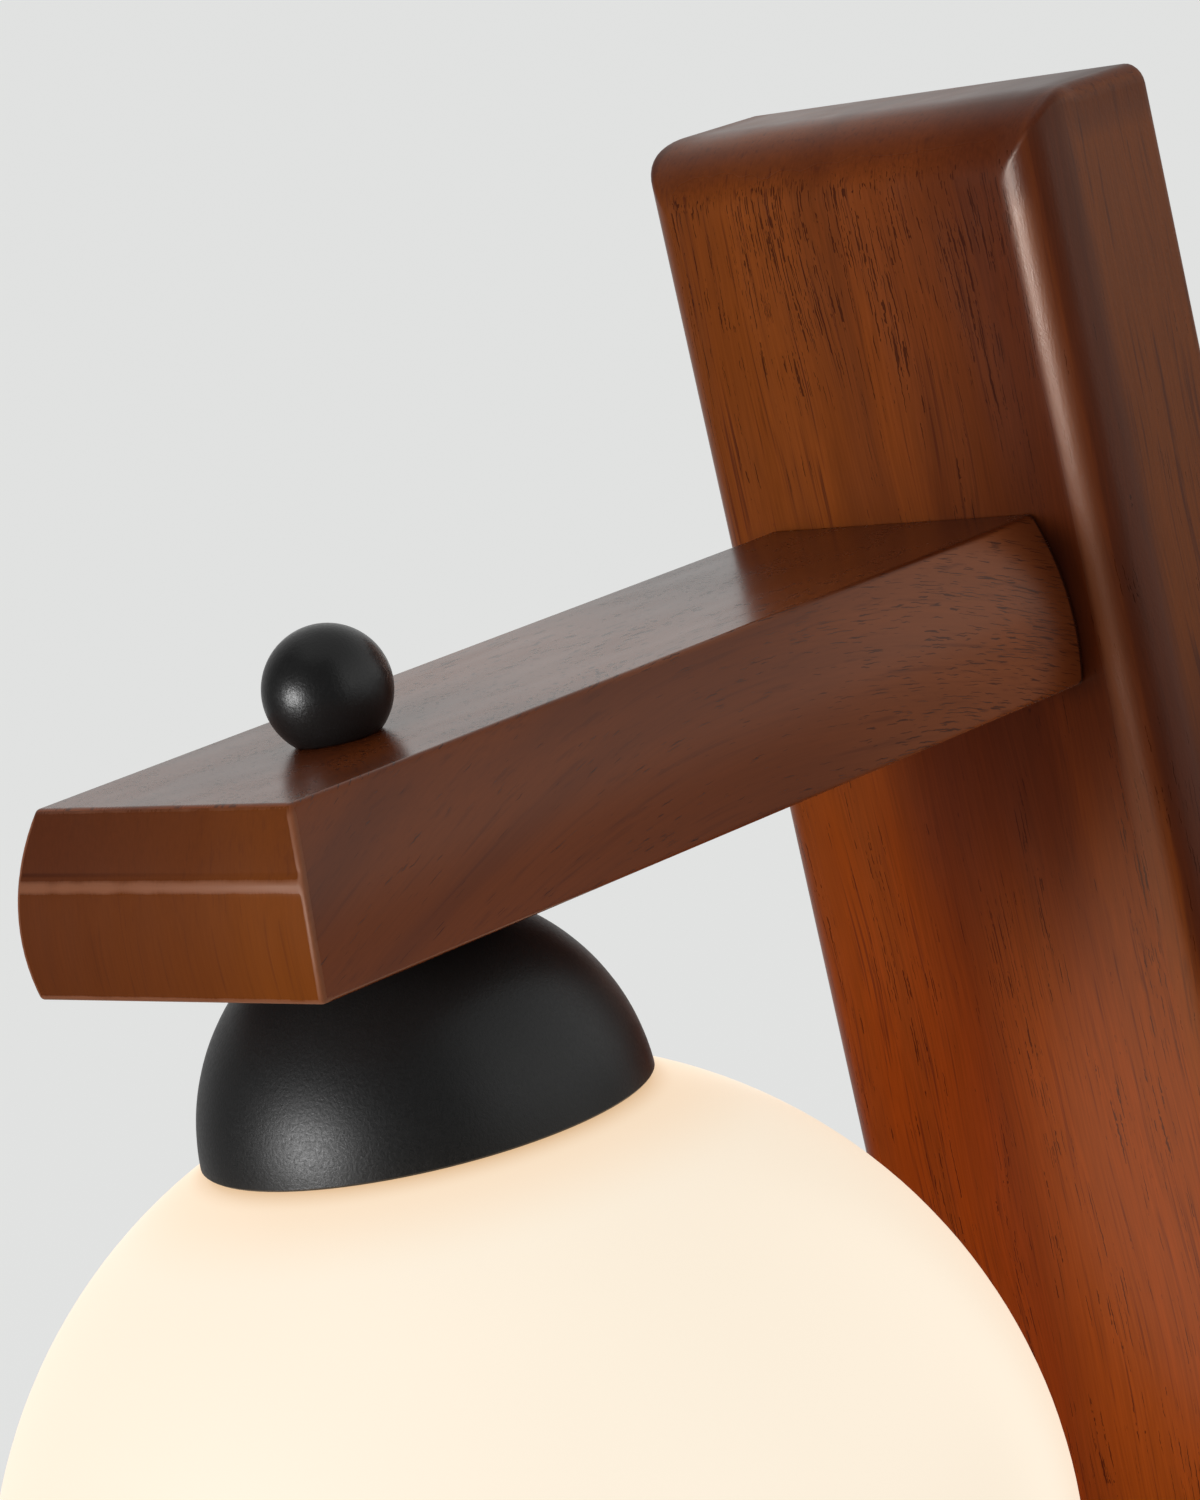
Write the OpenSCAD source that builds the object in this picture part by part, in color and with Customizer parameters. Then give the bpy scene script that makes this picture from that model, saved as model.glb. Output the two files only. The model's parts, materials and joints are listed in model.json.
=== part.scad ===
// Wooden wall lamp: a rounded back board, a bow-sided arm, a black ball finial,
// a black half-round cap and an opal glass globe that screws on under the cap.
// Millimetres, +Z up. The wall is the plane Y = 0 and the arm points along -Y.
// The origin is the middle of the wall bracket, on the wall.

/* [Back board] */
// Width of the back board
board_w = 81; // [72:1:100]
// Height of the back board
board_h = 300; // [290:1:360]
// Thickness of the back board
board_t = 26.4; // [25:0.2:34]
// Rounding of the top and bottom front edges
board_end_round = 11.4; // [3:0.1:14]
// Rounding of the two long front edges
board_side_round = 7.6; // [1:0.1:9]
// Corner radius of the board seen from the front
board_corner = 3; // [1:0.5:8]
// Width of the recess in the back
recess_w = 58; // [54:1:60]
// Depth of the recess in the back
recess_d = 17; // [16:0.5:19]
// Corner radius of the recess
recess_corner = 5; // [2:0.5:8]
// Room between the recess and what it holds, above and below
recess_room = 12; // [10:1:16]

/* [Arm] */
// Reach of the arm's end from the board's face
arm_len = 149.5; // [136:0.5:200]
// Height of the arm
arm_h = 25.3; // [23:0.1:32]
// Width across the top face
arm_top_w = 52; // [46:0.5:56]
// Width at the widest level of the bowed sides
arm_max_w = 59.6; // [57:0.2:68]
// Depth of the widest level below the top face
arm_max_depth = 17.5; // [13:0.5:21]
// Distance of the arm's top face below the board's top
arm_drop = 59; // [50:0.5:64]
// Depth of the ridge on the arm's end below the top face
end_ridge_depth = 9.8; // [5:0.1:16]
// Set-back of the end's top edge behind the ridge
end_top_set = 5; // [1:0.5:8]
// Set-back of the end's bottom edge behind the ridge
end_bottom_set = 0.4; // [0.2:0.1:3]
// Distance of the lamp's axis from the board's face
axis_out = 113; // [100:0.5:118]
// Bore along the arm for the wires
wire_bore_d = 8; // [6.5:0.5:10]

/* [Arm fixing] */
// Thread diameter of the two arm bolts
bolt_d = 6; // [5:0.5:8]
// Distance between the two arm bolts
bolt_gap = 34; // [30:1:38]
// Width of a bolt's head beyond its thread, each side
bolt_head_edge = 2; // [1.5:0.25:2.5]
// Height of a bolt's head
bolt_head_h = 6; // [4:0.5:6.5]
// Width across the flats of a bolt's socket
bolt_socket = 5; // [3:0.5:5.5]
// Thickness of a bolt's washer
washer_t = 1.6; // [1:0.2:2]
// Width of a washer beyond the bolt's head, each side
washer_edge = 1; // [0.5:0.25:2]
// Wall of the threaded inserts in the arm
insert_wall = 1.5; // [1:0.25:2]
// Length of the threaded inserts
insert_len = 15; // [12:1:20]

/* [Wall bracket] */
// Height of the bracket's plate
bracket_h = 120; // [112:1:140]
// Thickness of the bracket's sheet
bracket_t = 1.5; // [1:0.1:2]
// Gap between the bracket and each side of the recess
bracket_gap = 4; // [2:0.5:5]
// Distance between the two wall screw holes
wall_pitch = 90; // [86:1:100]
// Diameter of a wall screw hole
wall_hole_d = 5; // [4:0.5:6]
// Diameter of the hole for the supply cable
cable_hole_d = 16; // [10:1:18]
// Distance of the cable hole below the bracket's middle
cable_drop = 26; // [22:1:28]
// Height of each ear
ear_h = 24; // [14:1:28]
// Reach of each ear from the wall
ear_reach = 15; // [13:0.5:15.5]
// Thread diameter of the two side screws
side_screw_d = 4; // [3:0.5:5]
// Distance of the side screws from the wall
side_screw_out = 9; // [7:0.5:9.5]
// Width of a side screw's head beyond its thread, each side
side_head_edge = 2; // [1:0.25:2.5]
// Height of a side screw's head
side_head_h = 2.6; // [1.5:0.1:3]
// Depth of a side screw's head below the board's side
side_head_sink = 0.6; // [0.2:0.1:1]
// Length of a side screw past the ear
side_tip = 4; // [2:0.5:6]

/* [Terminal block] */
// Distance between neighbouring ways of the block
way_pitch = 7.5; // [7:0.25:8.5]
// Height of the block
block_h = 16; // [14:1:20]
// Thickness of the block
block_t = 12; // [11:0.5:13]
// Height of the block's middle above the bracket's middle
block_rise = 20; // [18:1:22]
// Wall of the brass sleeves in the block
sleeve_wall = 1; // [0.6:0.1:1.2]
// Thread diameter of the terminal screws
terminal_screw_d = 3; // [2.5:0.25:3]
// Thread diameter of the screws that hold the block
block_screw_d = 2; // [1.5:0.25:2]
// Thread diameter of the earth screw
earth_screw_d = 4; // [3:0.5:5]
// Distance of the earth screw from the bracket's middle line
earth_x = 17; // [16:0.5:18]
// Height of the earth screw above the bracket's middle
earth_rise = 38; // [35:1:40]
// Thickness of the earth tag
tag_t = 0.8; // [0.5:0.1:1]

/* [Ball and tube] */
// Diameter of the ball
ball_d = 17.8; // [17:0.1:24]
// Diameter of the flat that the ball sits on
ball_base_d = 11.7; // [10.5:0.1:13]
// Thread diameter of the hollow tube
tube_d = 8; // [7.5:0.25:9]
// Bore of the hollow tube
tube_bore = 6; // [5.5:0.1:6.4]
// Length of thread in the ball
ball_thread = 8; // [5:0.5:9]
// Width of the lamp nuts across their flats
nut_af = 13; // [12:0.5:13.5]
// Thickness of the lamp nuts
nut_t = 4; // [3:0.25:4]
// Outer diameter of the lock washer
lock_d = 15; // [13:0.5:18]
// Thickness of the lock washer
lock_t = 1.2; // [0.8:0.1:1.4]

/* [Cap] */
// Diameter of the half-round cap
cap_d = 62.9; // [61:0.1:76]
// Diameter of the cap's flat top
cap_top_d = 26.4; // [20:0.1:27]
// Thickness of the cap's sheet
cap_t = 1.2; // [0.8:0.1:1.4]

/* [Globe] */
// Diameter of the globe
globe_d = 150; // [140:1:190]
// Thickness of the glass
globe_t = 3; // [2:0.25:3.5]
// Outer diameter of the globe's neck
neck_d = 40; // [39.5:0.25:41]
// Thickness of the threaded ring in the neck
ring_t = 2; // [1.25:0.25:2]
// Thickness of the gasket on the neck
gasket_t = 1.5; // [1:0.25:2]

/* [Carrier and lampholder] */
// Thickness of the carrier's plate
carrier_t = 2; // [1.5:0.25:2]
// Wall of the carrier's threaded skirt
skirt_wall = 1.8; // [1.2:0.1:1.8]
// Length of the carrier's threaded skirt
skirt_len = 12.5; // [10:0.5:14]
// Length of the two posts that hold the lampholder
post_len = 11.5; // [11:0.5:14]
// Diameter of a post
post_d = 5; // [4.5:0.25:5.25]
// Thread diameter of the lampholder screws
holder_screw_d = 2.5; // [2:0.25:2.5]
// Thickness of the lampholder's flange
flange_t = 5; // [4:0.5:7]
// Diameter of the lampholder's body
holder_d = 18; // [16:0.25:18]
// Height of the lampholder's body below its flange
holder_h = 17; // [16:0.5:22]

/* [Bulb] */
// Diameter of the bulb's base
bulb_base_d = 16; // [15:0.5:20]
// Height of the bulb's base
bulb_base_h = 10; // [8:0.5:14]
// Diameter of the bulb's cover
bulb_cover_d = 17; // [16:0.5:22]
// Length of the bulb's cover
bulb_cover_len = 38; // [30:1:45]
// Wall of the bulb's cover
bulb_cover_t = 1; // [0.8:0.1:1.5]
// Width of the square core with the light chips
bulb_core_w = 7; // [5:0.5:8]
// Distance between the bulb's two pins
pin_pitch = 9; // [8.5:0.1:9.5]
// Length of the bulb's pins
pin_len = 8.5; // [7:0.5:9]
// Diameter of the wire that each pin is bent from
pin_wire_d = 0.8; // [0.6:0.05:1]
// Width of each pin's loop
pin_loop_w = 2.5; // [2.2:0.1:2.6]

/* [Wires] */
// Diameter of a wire with its insulation
wire_d = 2; // [1.6:0.1:2.1]
// Gap between the two wires in the tube
wire_gap = 0.6; // [0.4:0.1:0.8]

/* [Fits] */
// Clearance round a thread, on the radius
thread_gap = 0.05; // [0.02:0.01:0.08]
// Clearance round a shank or a wire in its hole, on the radius
hole_gap = 0.3; // [0.2:0.05:0.4]
// Gap between curved faces of pieces that move on each other
seat_gap = 0.3; // [0.25:0.05:0.5]
// Thickness of the glue between the neck and its ring
glue_gap = 0.1; // [0.05:0.05:0.2]

/* [Hidden] */
$fn = 96;
// Overlap of a cutting shape past the face that it cuts
cut = 1;

// Levels and places that the pieces share
board_face_y = -board_t;
axis_y = board_face_y - axis_out;
arm_top_z = board_h / 2 - arm_drop;
arm_mid_z = arm_top_z - arm_h / 2;
arm_bottom_z = arm_top_z - arm_h;
recess_floor_y = -recess_d;

// Arm: radius of the bowed sides and their centres' offset from the middle
arm_bow = (arm_max_w - arm_top_w) / 2;
arm_bow_r = (pow(arm_bow, 2) + pow(arm_max_depth, 2)) / (2 * arm_bow);
arm_bow_x = arm_max_w / 2 - arm_bow_r;

// Arm fixing
bolt_hole_r = bolt_d / 2 + hole_gap;
bolt_head_r = bolt_d / 2 + bolt_head_edge;
washer_r = bolt_head_r + washer_edge;
insert_bore_r = bolt_d / 2 + thread_gap;
insert_r = insert_bore_r + insert_wall;
bolt_end_room = 2;
bolt_len = board_t - recess_d + washer_t + insert_len - bolt_end_room;
bolt_socket_d = bolt_head_h / 2;

// Recess: from under the bracket to over the arm bolts
recess_bottom_z = -(bracket_h / 2 + recess_room);
recess_top_z = max(arm_mid_z, bracket_h / 2) + recess_room;
recess_h = recess_top_z - recess_bottom_z;

// Bracket and side screws
bracket_w = recess_w - 2 * bracket_gap;
ear_x = bracket_w / 2;
side_head_r = side_screw_d / 2 + side_head_edge;
side_sink = side_head_h + side_head_sink;
side_seat_x = board_w / 2 - side_sink;
side_len = side_seat_x - (ear_x - bracket_t - side_tip);
side_slot_w = side_screw_d / 4;
side_slot_d = side_head_h / 2;

// Terminal block: three ways, with sleeves along Z and screws from the front
block_ways = 3;
block_edge = 1.5;
block_w = block_ways * way_pitch + block_edge;
block_bottom_z = block_rise - block_h / 2;
block_top_z = block_rise + block_h / 2;
block_front_y = -(bracket_t + block_t);
way_r = wire_d / 2 + hole_gap;
sleeve_r = way_r + sleeve_wall;
sleeve_inset = 1;
way_y = block_front_y / 2 - bracket_t;
way_x = [for (i = [0:block_ways - 1]) (i - (block_ways - 1) / 2) * way_pitch];
terminal_screw_z = [block_bottom_z + block_h / 4, block_top_z - block_h / 4];
terminal_screw_sink = 0.5;
terminal_screw_len = way_y - wire_d / 2 - hole_gap / 2 - block_front_y - terminal_screw_sink;
block_screw_x = [-way_pitch / 2, way_pitch / 2];
block_head_edge = 0.8;
block_head_r = block_screw_d / 2 + block_head_edge;
block_head_h = 1.4;
driver_slot_w = 0.7;
driver_slot_d = 0.8;

// Earth screw and its tag, whose barrel holds the earth wire
tag_edge = 2.2;
tag_r = earth_screw_d / 2 + tag_edge;
earth_head_edge = 1.6;
earth_head_r = earth_screw_d / 2 + earth_head_edge;
earth_head_h = 2.2;
barrel_wall = 0.7;
barrel_r = wire_d / 2 + hole_gap + barrel_wall;
barrel_len = 5;
barrel_lift = 0.5;
barrel_y = -(bracket_t + barrel_r);
barrel_bottom_z = earth_rise + tag_r + barrel_lift;
barrel_top_z = barrel_bottom_z + barrel_len;

// Ball and tube
ball_r = ball_d / 2;
ball_rise = sqrt(pow(ball_r, 2) - pow(ball_base_d / 2, 2));
ball_bore_room = 1;
tube_hole_r = tube_d / 2 + hole_gap;
thread_hole_r = tube_d / 2 + thread_gap;

// Cap, and the stack of pieces on the tube under the arm, from the top down
cap_r = cap_d / 2;
cap_h = sqrt(pow(cap_r, 2) - pow(cap_top_d / 2, 2));
rim_z = arm_bottom_z - cap_h;
lock_z = arm_bottom_z - cap_t - lock_t;
cap_nut_z = lock_z - nut_t;
carrier_z = cap_nut_z - carrier_t;
carrier_nut_z = carrier_z - nut_t;
tube_tail = 1;
tube_end_z = carrier_nut_z - tube_tail;
tube_len = arm_top_z + ball_thread - tube_end_z;

// Window in the tube where the wires turn down into it
window_w = 2 * wire_d + wire_gap + 4 * hole_gap;
window_room = 1;
window_over = wire_d / 2 + window_room;
window_under = 7;

// Globe, neck, ring and carrier thread, from the outside in
globe_r = globe_d / 2;
globe_z = rim_z - sqrt(pow(globe_r, 2) - pow(cap_r, 2));
neck_r = neck_d / 2;
neck_bore_r = neck_r - globe_t;
neck_top_z = carrier_z - gasket_t;
ring_r = neck_bore_r - glue_gap;
ring_bore_r = ring_r - ring_t;
carrier_thread_r = ring_bore_r - thread_gap;
carrier_flange_inset = 0.5;
carrier_flange_r = neck_r - carrier_flange_inset;
skirt_bore_r = carrier_thread_r - skirt_wall;
skirt_end_z = carrier_z - skirt_len;
gasket_bore_r = carrier_thread_r + hole_gap;

// Lampholder inside the carrier
flange_r = skirt_bore_r - hole_gap;
post_x = flange_r - post_d / 2;
holder_top_z = carrier_z - post_len;
flange_bottom_z = holder_top_z - flange_t;
holder_face_z = flange_bottom_z - holder_h;
holder_screw_room = 3;
holder_screw_bite = post_len - holder_screw_room;
holder_screw_len = flange_t + holder_screw_bite;
holder_head_edge = 0.9;
holder_head_r = holder_screw_d / 2 + holder_head_edge;
holder_head_h = 1.8;
holder_wire_depth = 5;

// Pockets with the contact clips that grip the pins
contact_t = 0.8;
contact_slot = pin_wire_d + 4 * thread_gap;
contact_w = pin_loop_w + 2 * hole_gap;
contact_d = contact_slot + 2 * contact_t;
contact_lift = 1.5;
contact_slot_h = pin_len + hole_gap - contact_lift;
contact_h = contact_slot_h + contact_t;
pocket_h = contact_lift + contact_h + hole_gap;

// Bulb, from its seat on the lampholder down
bulb_cover_z = holder_face_z - bulb_base_h;
bulb_core_room = 2;
bulb_core_len = bulb_cover_len - bulb_cover_d / 2 - bulb_core_room;

// Wires: each runs up the recess, turns into the arm, and turns down into the tube
tube_wire_x = (wire_d + wire_gap) / 2;
run_y = -9.5;
turn_r = 7;
tube_turn_r = 5;
turn_steps = 4;
wire_sides = 8;
wire_leads = [way_x[0], way_x[1]];

// Points of a quarter turn in the plane X = x, about [y, z], from angle a to angle b
function quarter(x, y, z, r, a, b) =
    [for (i = [0:turn_steps]) let (t = a + (b - a) * i / turn_steps) [x, y + r * cos(t), z + r * sin(t)]];

// Route of a lamp wire from its way at from_x to the lampholder, on one side of the tube
function wire_route(from_x, side) = let (x = side * tube_wire_x) concat(
    [
        [from_x, way_y, block_top_z - sleeve_inset - 3],
        [from_x, way_y, block_top_z + 3],
        [(from_x + x) / 2, (way_y + run_y) / 2, block_top_z + 14],
        [x, run_y, block_top_z + 26]
    ],
    quarter(x, run_y - turn_r, arm_mid_z - turn_r, turn_r, 0, 90),
    quarter(x, axis_y + tube_turn_r, arm_mid_z - tube_turn_r, tube_turn_r, 90, 180),
    [
        [x, axis_y, tube_end_z],
        [side * pin_pitch / 2, axis_y, holder_top_z + 1],
        [side * pin_pitch / 2, axis_y, holder_top_z - holder_wire_depth + 0.5]
    ]
);

// Route of the earth wire from its way to the barrel of the tag
earth_route = [
    [way_x[2], way_y, block_top_z - sleeve_inset - 3],
    [way_x[2], way_y, block_top_z + 8],
    [way_x[2], way_y, block_top_z + 20],
    [way_x[2] + 2, way_y, barrel_top_z + 6],
    [(way_x[2] + earth_x) / 2, (way_y + barrel_y) / 2, barrel_top_z + 9],
    [earth_x - 2, barrel_y, barrel_top_z + 6],
    [earth_x, barrel_y, barrel_top_z + 2],
    [earth_x, barrel_y, barrel_bottom_z + 1]
];

// Shared shapes

// Places its children on the lamp's axis at a level
module on_axis(z) {
    translate([0, axis_y, z]) children();
}

// Turns a shape that stands on Z so that it points toward the room, along -Y
module to_room() {
    rotate([90, 0, 0]) children();
}

// Places its children at each of two places, mirrored about the middle plane
module both_sides(x) {
    for (side = [-1, 1]) translate([side * x, 0, 0]) children();
}

// Flat rectangle about the origin with four round corners
module round_rect(w, h, r) {
    square([w - 2 * r, h], center = true);
    square([w, h - 2 * r], center = true);
    for (x = [-1, 1], y = [-1, 1]) translate([x * (w / 2 - r), y * (h / 2 - r)]) circle(r);
}

// Flat rectangle from y = 0 to y = -t, with its two far corners rounded
module round_front(w, t, r) {
    translate([-w / 2, r - t]) square([w, t - r]);
    translate([r - w / 2, -t]) square([w - 2 * r, t]);
    for (x = [-1, 1]) translate([x * (w / 2 - r), r - t]) circle(r);
}

// Ring that stands on its lower face
module ring(r, bore_r, h) {
    difference() {
        cylinder(r = r, h = h);
        translate([0, 0, -cut]) cylinder(r = bore_r, h = h + 2 * cut);
    }
}

// Hexagonal nut on the lamp tube, standing on its lower face
module lamp_nut() {
    difference() {
        cylinder(r = nut_af / sqrt(3), h = nut_t, $fn = 6);
        translate([0, 0, -cut]) cylinder(r = thread_hole_r, h = nut_t + 2 * cut);
    }
}

// Slotted screw whose head stands on Z = 0 and whose shank points down
module slot_screw(d, len, head_r, head_h, slot_w = driver_slot_w, slot_d = driver_slot_d) {
    difference() {
        union() {
            cylinder(r = head_r, h = head_h);
            translate([0, 0, -len]) cylinder(d = d, h = len + head_h / 2);
        }
        translate([-head_r - cut, -slot_w / 2, head_h - slot_d])
            cube([2 * (head_r + cut), slot_w, slot_d + cut]);
    }
}

// Unit vector across the direction d, nearest to the vector ref
function across(d, ref) = let (v = ref - d * (ref * d)) v / norm(v);

// Direction of a route at its point i
function heading(route, i) =
    let (v = route[min(i + 1, len(route) - 1)] - route[max(i - 1, 0)]) v / norm(v);

// Round wire along a route, with one ring of points at each point of the route
module wire_along(route, d, ref) {
    last = len(route) - 1;
    points = [for (i = [0:last])
        let (dir = heading(route, i), u = across(dir, ref), v = cross(dir, u))
        for (s = [0:wire_sides - 1]) let (a = 360 * s / wire_sides)
        route[i] + d / 2 * (cos(a) * u + sin(a) * v)];
    sides = [for (i = [0:last - 1], s = [0:wire_sides - 1])
        let (a = i * wire_sides + s, b = i * wire_sides + (s + 1) % wire_sides)
        for (face = [[a, a + wire_sides, b], [b, a + wire_sides, b + wire_sides]]) face];
    start = [for (s = [1:wire_sides - 2]) [0, s, s + 1]];
    end = [for (s = [1:wire_sides - 2]) [0, s + 1, s] + last * wire_sides * [1, 1, 1]];
    polyhedron(points, concat(sides, start, end));
}

// Back board and its wall fixing

module back_board() {
    color("#6b3a1c") difference() {
        intersection() {
            translate([0, 0, -board_h / 2]) linear_extrude(board_h)
                round_front(board_w, board_t, board_side_round);
            translate([board_w / 2, 0, 0]) rotate([0, -90, 0]) linear_extrude(board_w)
                round_front(board_h, board_t, board_end_round);
            to_room() linear_extrude(board_t) round_rect(board_w, board_h, board_corner);
        }
        // Recess in the back
        translate([0, cut, (recess_top_z + recess_bottom_z) / 2]) to_room()
            linear_extrude(recess_d + cut) round_rect(recess_w, recess_h, recess_corner);
        // Holes for the arm bolts and the wires
        translate([0, cut, arm_mid_z]) to_room() {
            both_sides(bolt_gap / 2) cylinder(r = bolt_hole_r, h = board_t + 2 * cut);
            cylinder(d = wire_bore_d, h = board_t + 2 * cut);
        }
        // Holes for the side screws, with room for their heads
        for (side = [-1, 1]) translate([0, -side_screw_out, 0]) rotate([0, side * 90, 0]) {
            cylinder(r = side_screw_d / 2 + hole_gap, h = board_w / 2 + cut);
            translate([0, 0, side_seat_x]) cylinder(r = side_head_r + hole_gap, h = side_sink + cut);
        }
    }
}

module wall_bracket() {
    color("silver") difference() {
        union() {
            translate([-bracket_w / 2, -bracket_t, -bracket_h / 2]) cube([bracket_w, bracket_t, bracket_h]);
            for (side = [0, 1]) mirror([side, 0, 0])
                translate([ear_x - bracket_t, -ear_reach, -ear_h / 2]) cube([bracket_t, ear_reach, ear_h]);
        }
        translate([0, cut, 0]) to_room() {
            for (side = [-1, 1]) translate([0, side * wall_pitch / 2, 0])
                cylinder(d = wall_hole_d, h = bracket_t + 2 * cut);
            translate([0, -cable_drop, 0]) cylinder(d = cable_hole_d, h = bracket_t + 2 * cut);
            translate([earth_x, earth_rise, 0])
                cylinder(r = earth_screw_d / 2 + thread_gap, h = bracket_t + 2 * cut);
            for (x = block_screw_x) translate([x, block_rise, 0])
                cylinder(r = block_screw_d / 2 + thread_gap, h = bracket_t + 2 * cut);
        }
        // Threaded holes for the side screws
        translate([-board_w / 2, -side_screw_out, 0]) rotate([0, 90, 0])
            cylinder(r = side_screw_d / 2 + thread_gap, h = board_w);
    }
}

module side_screws() {
    color("#262626") for (side = [-1, 1])
        translate([side * side_seat_x, -side_screw_out, 0]) rotate([0, side * 90, 0])
            slot_screw(side_screw_d, side_len, side_head_r, side_head_h, side_slot_w, side_slot_d);
}

// Terminal block and earth

module terminal_block() {
    color("white") difference() {
        translate([-block_w / 2, block_front_y, block_bottom_z]) cube([block_w, block_t, block_h]);
        for (x = way_x) {
            translate([x, way_y, block_bottom_z - cut])
                cylinder(r = sleeve_r + hole_gap / 2, h = block_h + 2 * cut);
            for (z = terminal_screw_z) translate([x, way_y, z]) to_room()
                cylinder(r = terminal_screw_d / 2 + hole_gap, h = block_t);
        }
        for (x = block_screw_x) translate([x, cut, block_rise]) to_room()
            cylinder(r = block_screw_d / 2 + hole_gap, h = board_t);
    }
}

module terminal_sleeves() {
    color("goldenrod") for (x = way_x) translate([x, way_y, 0]) difference() {
        translate([0, 0, block_bottom_z + sleeve_inset]) ring(sleeve_r, way_r, block_h - 2 * sleeve_inset);
        for (z = terminal_screw_z) translate([0, 0, z]) to_room()
            cylinder(r = terminal_screw_d / 2 + thread_gap, h = block_t);
    }
}

module terminal_screws() {
    color("gold") for (x = way_x, z = terminal_screw_z)
        translate([x, block_front_y + terminal_screw_sink, z]) to_room() difference() {
            translate([0, 0, -terminal_screw_len]) cylinder(d = terminal_screw_d, h = terminal_screw_len);
            translate([-terminal_screw_d, -driver_slot_w / 2, -driver_slot_d])
                cube([2 * terminal_screw_d, driver_slot_w, driver_slot_d + cut]);
        }
}

module block_screws() {
    color("silver") for (x = block_screw_x) translate([x, block_front_y, block_rise]) to_room()
        slot_screw(block_screw_d, block_t + bracket_t, block_head_r, block_head_h);
}

module earth_tag() {
    color("goldenrod") difference() {
        union() {
            translate([earth_x, -bracket_t, earth_rise]) to_room() cylinder(r = tag_r, h = tag_t);
            translate([earth_x - barrel_r, -bracket_t - tag_t, earth_rise])
                cube([2 * barrel_r, tag_t, barrel_bottom_z - earth_rise + barrel_len / 2]);
            translate([earth_x, barrel_y, barrel_bottom_z]) cylinder(r = barrel_r, h = barrel_len);
        }
        translate([earth_x, cut, earth_rise]) to_room()
            cylinder(r = earth_screw_d / 2 + hole_gap, h = bracket_t + tag_t + 2 * cut);
        translate([earth_x, barrel_y, barrel_bottom_z - cut])
            cylinder(r = wire_d / 2 + hole_gap, h = barrel_len + 2 * cut);
    }
}

module earth_screw() {
    color("gold") translate([earth_x, -bracket_t - tag_t, earth_rise]) to_room()
        slot_screw(earth_screw_d, tag_t + bracket_t, earth_head_r, earth_head_h);
}

// Arm and its fixing

// Cross-section of the arm, from its top face at y = 0 down
module arm_section() {
    intersection() {
        translate([-arm_max_w / 2, -arm_h]) square([arm_max_w, arm_h]);
        translate([arm_bow_x, -arm_max_depth]) circle(arm_bow_r);
        translate([-arm_bow_x, -arm_max_depth]) circle(arm_bow_r);
    }
}

// Side view of the arm, from the board's face at x = 0 along -x
module arm_side_view() {
    polygon([
        [0, 0],
        [end_top_set - arm_len, 0],
        [-arm_len, -end_ridge_depth],
        [end_bottom_set - arm_len, -arm_h],
        [0, -arm_h]
    ]);
}

module arm() {
    color("#6a3418") difference() {
        translate([0, board_face_y, arm_top_z]) intersection() {
            to_room() linear_extrude(arm_len) arm_section();
            translate([-arm_max_w / 2 - cut, 0, 0]) rotate([90, 0, 90])
                linear_extrude(arm_max_w + 2 * cut) arm_side_view();
        }
        // Hole for the lamp tube
        on_axis(arm_bottom_z - cut) cylinder(r = tube_hole_r, h = arm_h + 2 * cut);
        // Bore for the wires, and holes for the inserts with room for the bolts' ends
        translate([0, board_face_y + cut, arm_mid_z]) to_room() {
            cylinder(d = wire_bore_d, h = axis_out + cut);
            both_sides(bolt_gap / 2)
                cylinder(r = insert_r + glue_gap, h = insert_len + bolt_end_room + cut);
        }
    }
}

module arm_bolts() {
    color("silver") translate([0, recess_floor_y + washer_t, arm_mid_z])
        both_sides(bolt_gap / 2) difference() {
            union() {
                to_room() cylinder(d = bolt_d, h = bolt_len);
                rotate([-90, 0, 0]) cylinder(r = bolt_head_r, h = bolt_head_h);
            }
            translate([0, bolt_head_h - bolt_socket_d, 0]) rotate([-90, 0, 0])
                cylinder(r = bolt_socket / sqrt(3), h = bolt_socket_d + cut, $fn = 6);
        }
}

module arm_washers() {
    color("silver") translate([0, recess_floor_y + washer_t, arm_mid_z]) both_sides(bolt_gap / 2)
        to_room() ring(washer_r, bolt_hole_r, washer_t);
}

module arm_inserts() {
    color("goldenrod") translate([0, board_face_y, arm_mid_z]) both_sides(bolt_gap / 2)
        to_room() ring(insert_r, insert_bore_r, insert_len);
}

// Tube, ball and cap

module threaded_tube() {
    color("silver") difference() {
        on_axis(tube_end_z) ring(tube_d / 2, tube_bore / 2, tube_len);
        translate([-window_w / 2, axis_y, arm_mid_z - window_under])
            cube([window_w, tube_d, window_over + window_under]);
    }
}

module ball_finial() {
    color("#222222") on_axis(arm_top_z) difference() {
        translate([0, 0, ball_rise]) sphere(r = ball_r);
        translate([0, 0, -ball_r]) cylinder(r = ball_r, h = ball_r);
        translate([0, 0, -cut]) cylinder(r = thread_hole_r, h = ball_thread + ball_bore_room + cut);
    }
}

module cap() {
    color("#222222") difference() {
        on_axis(rim_z) intersection() {
            sphere(r = cap_r);
            cylinder(r = cap_r + cut, h = cap_h);
        }
        on_axis(rim_z) intersection() {
            sphere(r = cap_r - cap_t);
            translate([0, 0, -cap_r]) cylinder(r = cap_r, h = cap_r + cap_h - cap_t);
        }
        // The rim follows the globe
        on_axis(globe_z) sphere(r = globe_r + seat_gap);
        on_axis(rim_z) cylinder(r = tube_hole_r, h = cap_h + cut);
    }
}

module lock_washer() {
    color("silver") on_axis(lock_z) ring(lock_d / 2, tube_hole_r, lock_t);
}

module cap_nut() {
    color("silver") on_axis(cap_nut_z) lamp_nut();
}

// Carrier and lampholder

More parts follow.
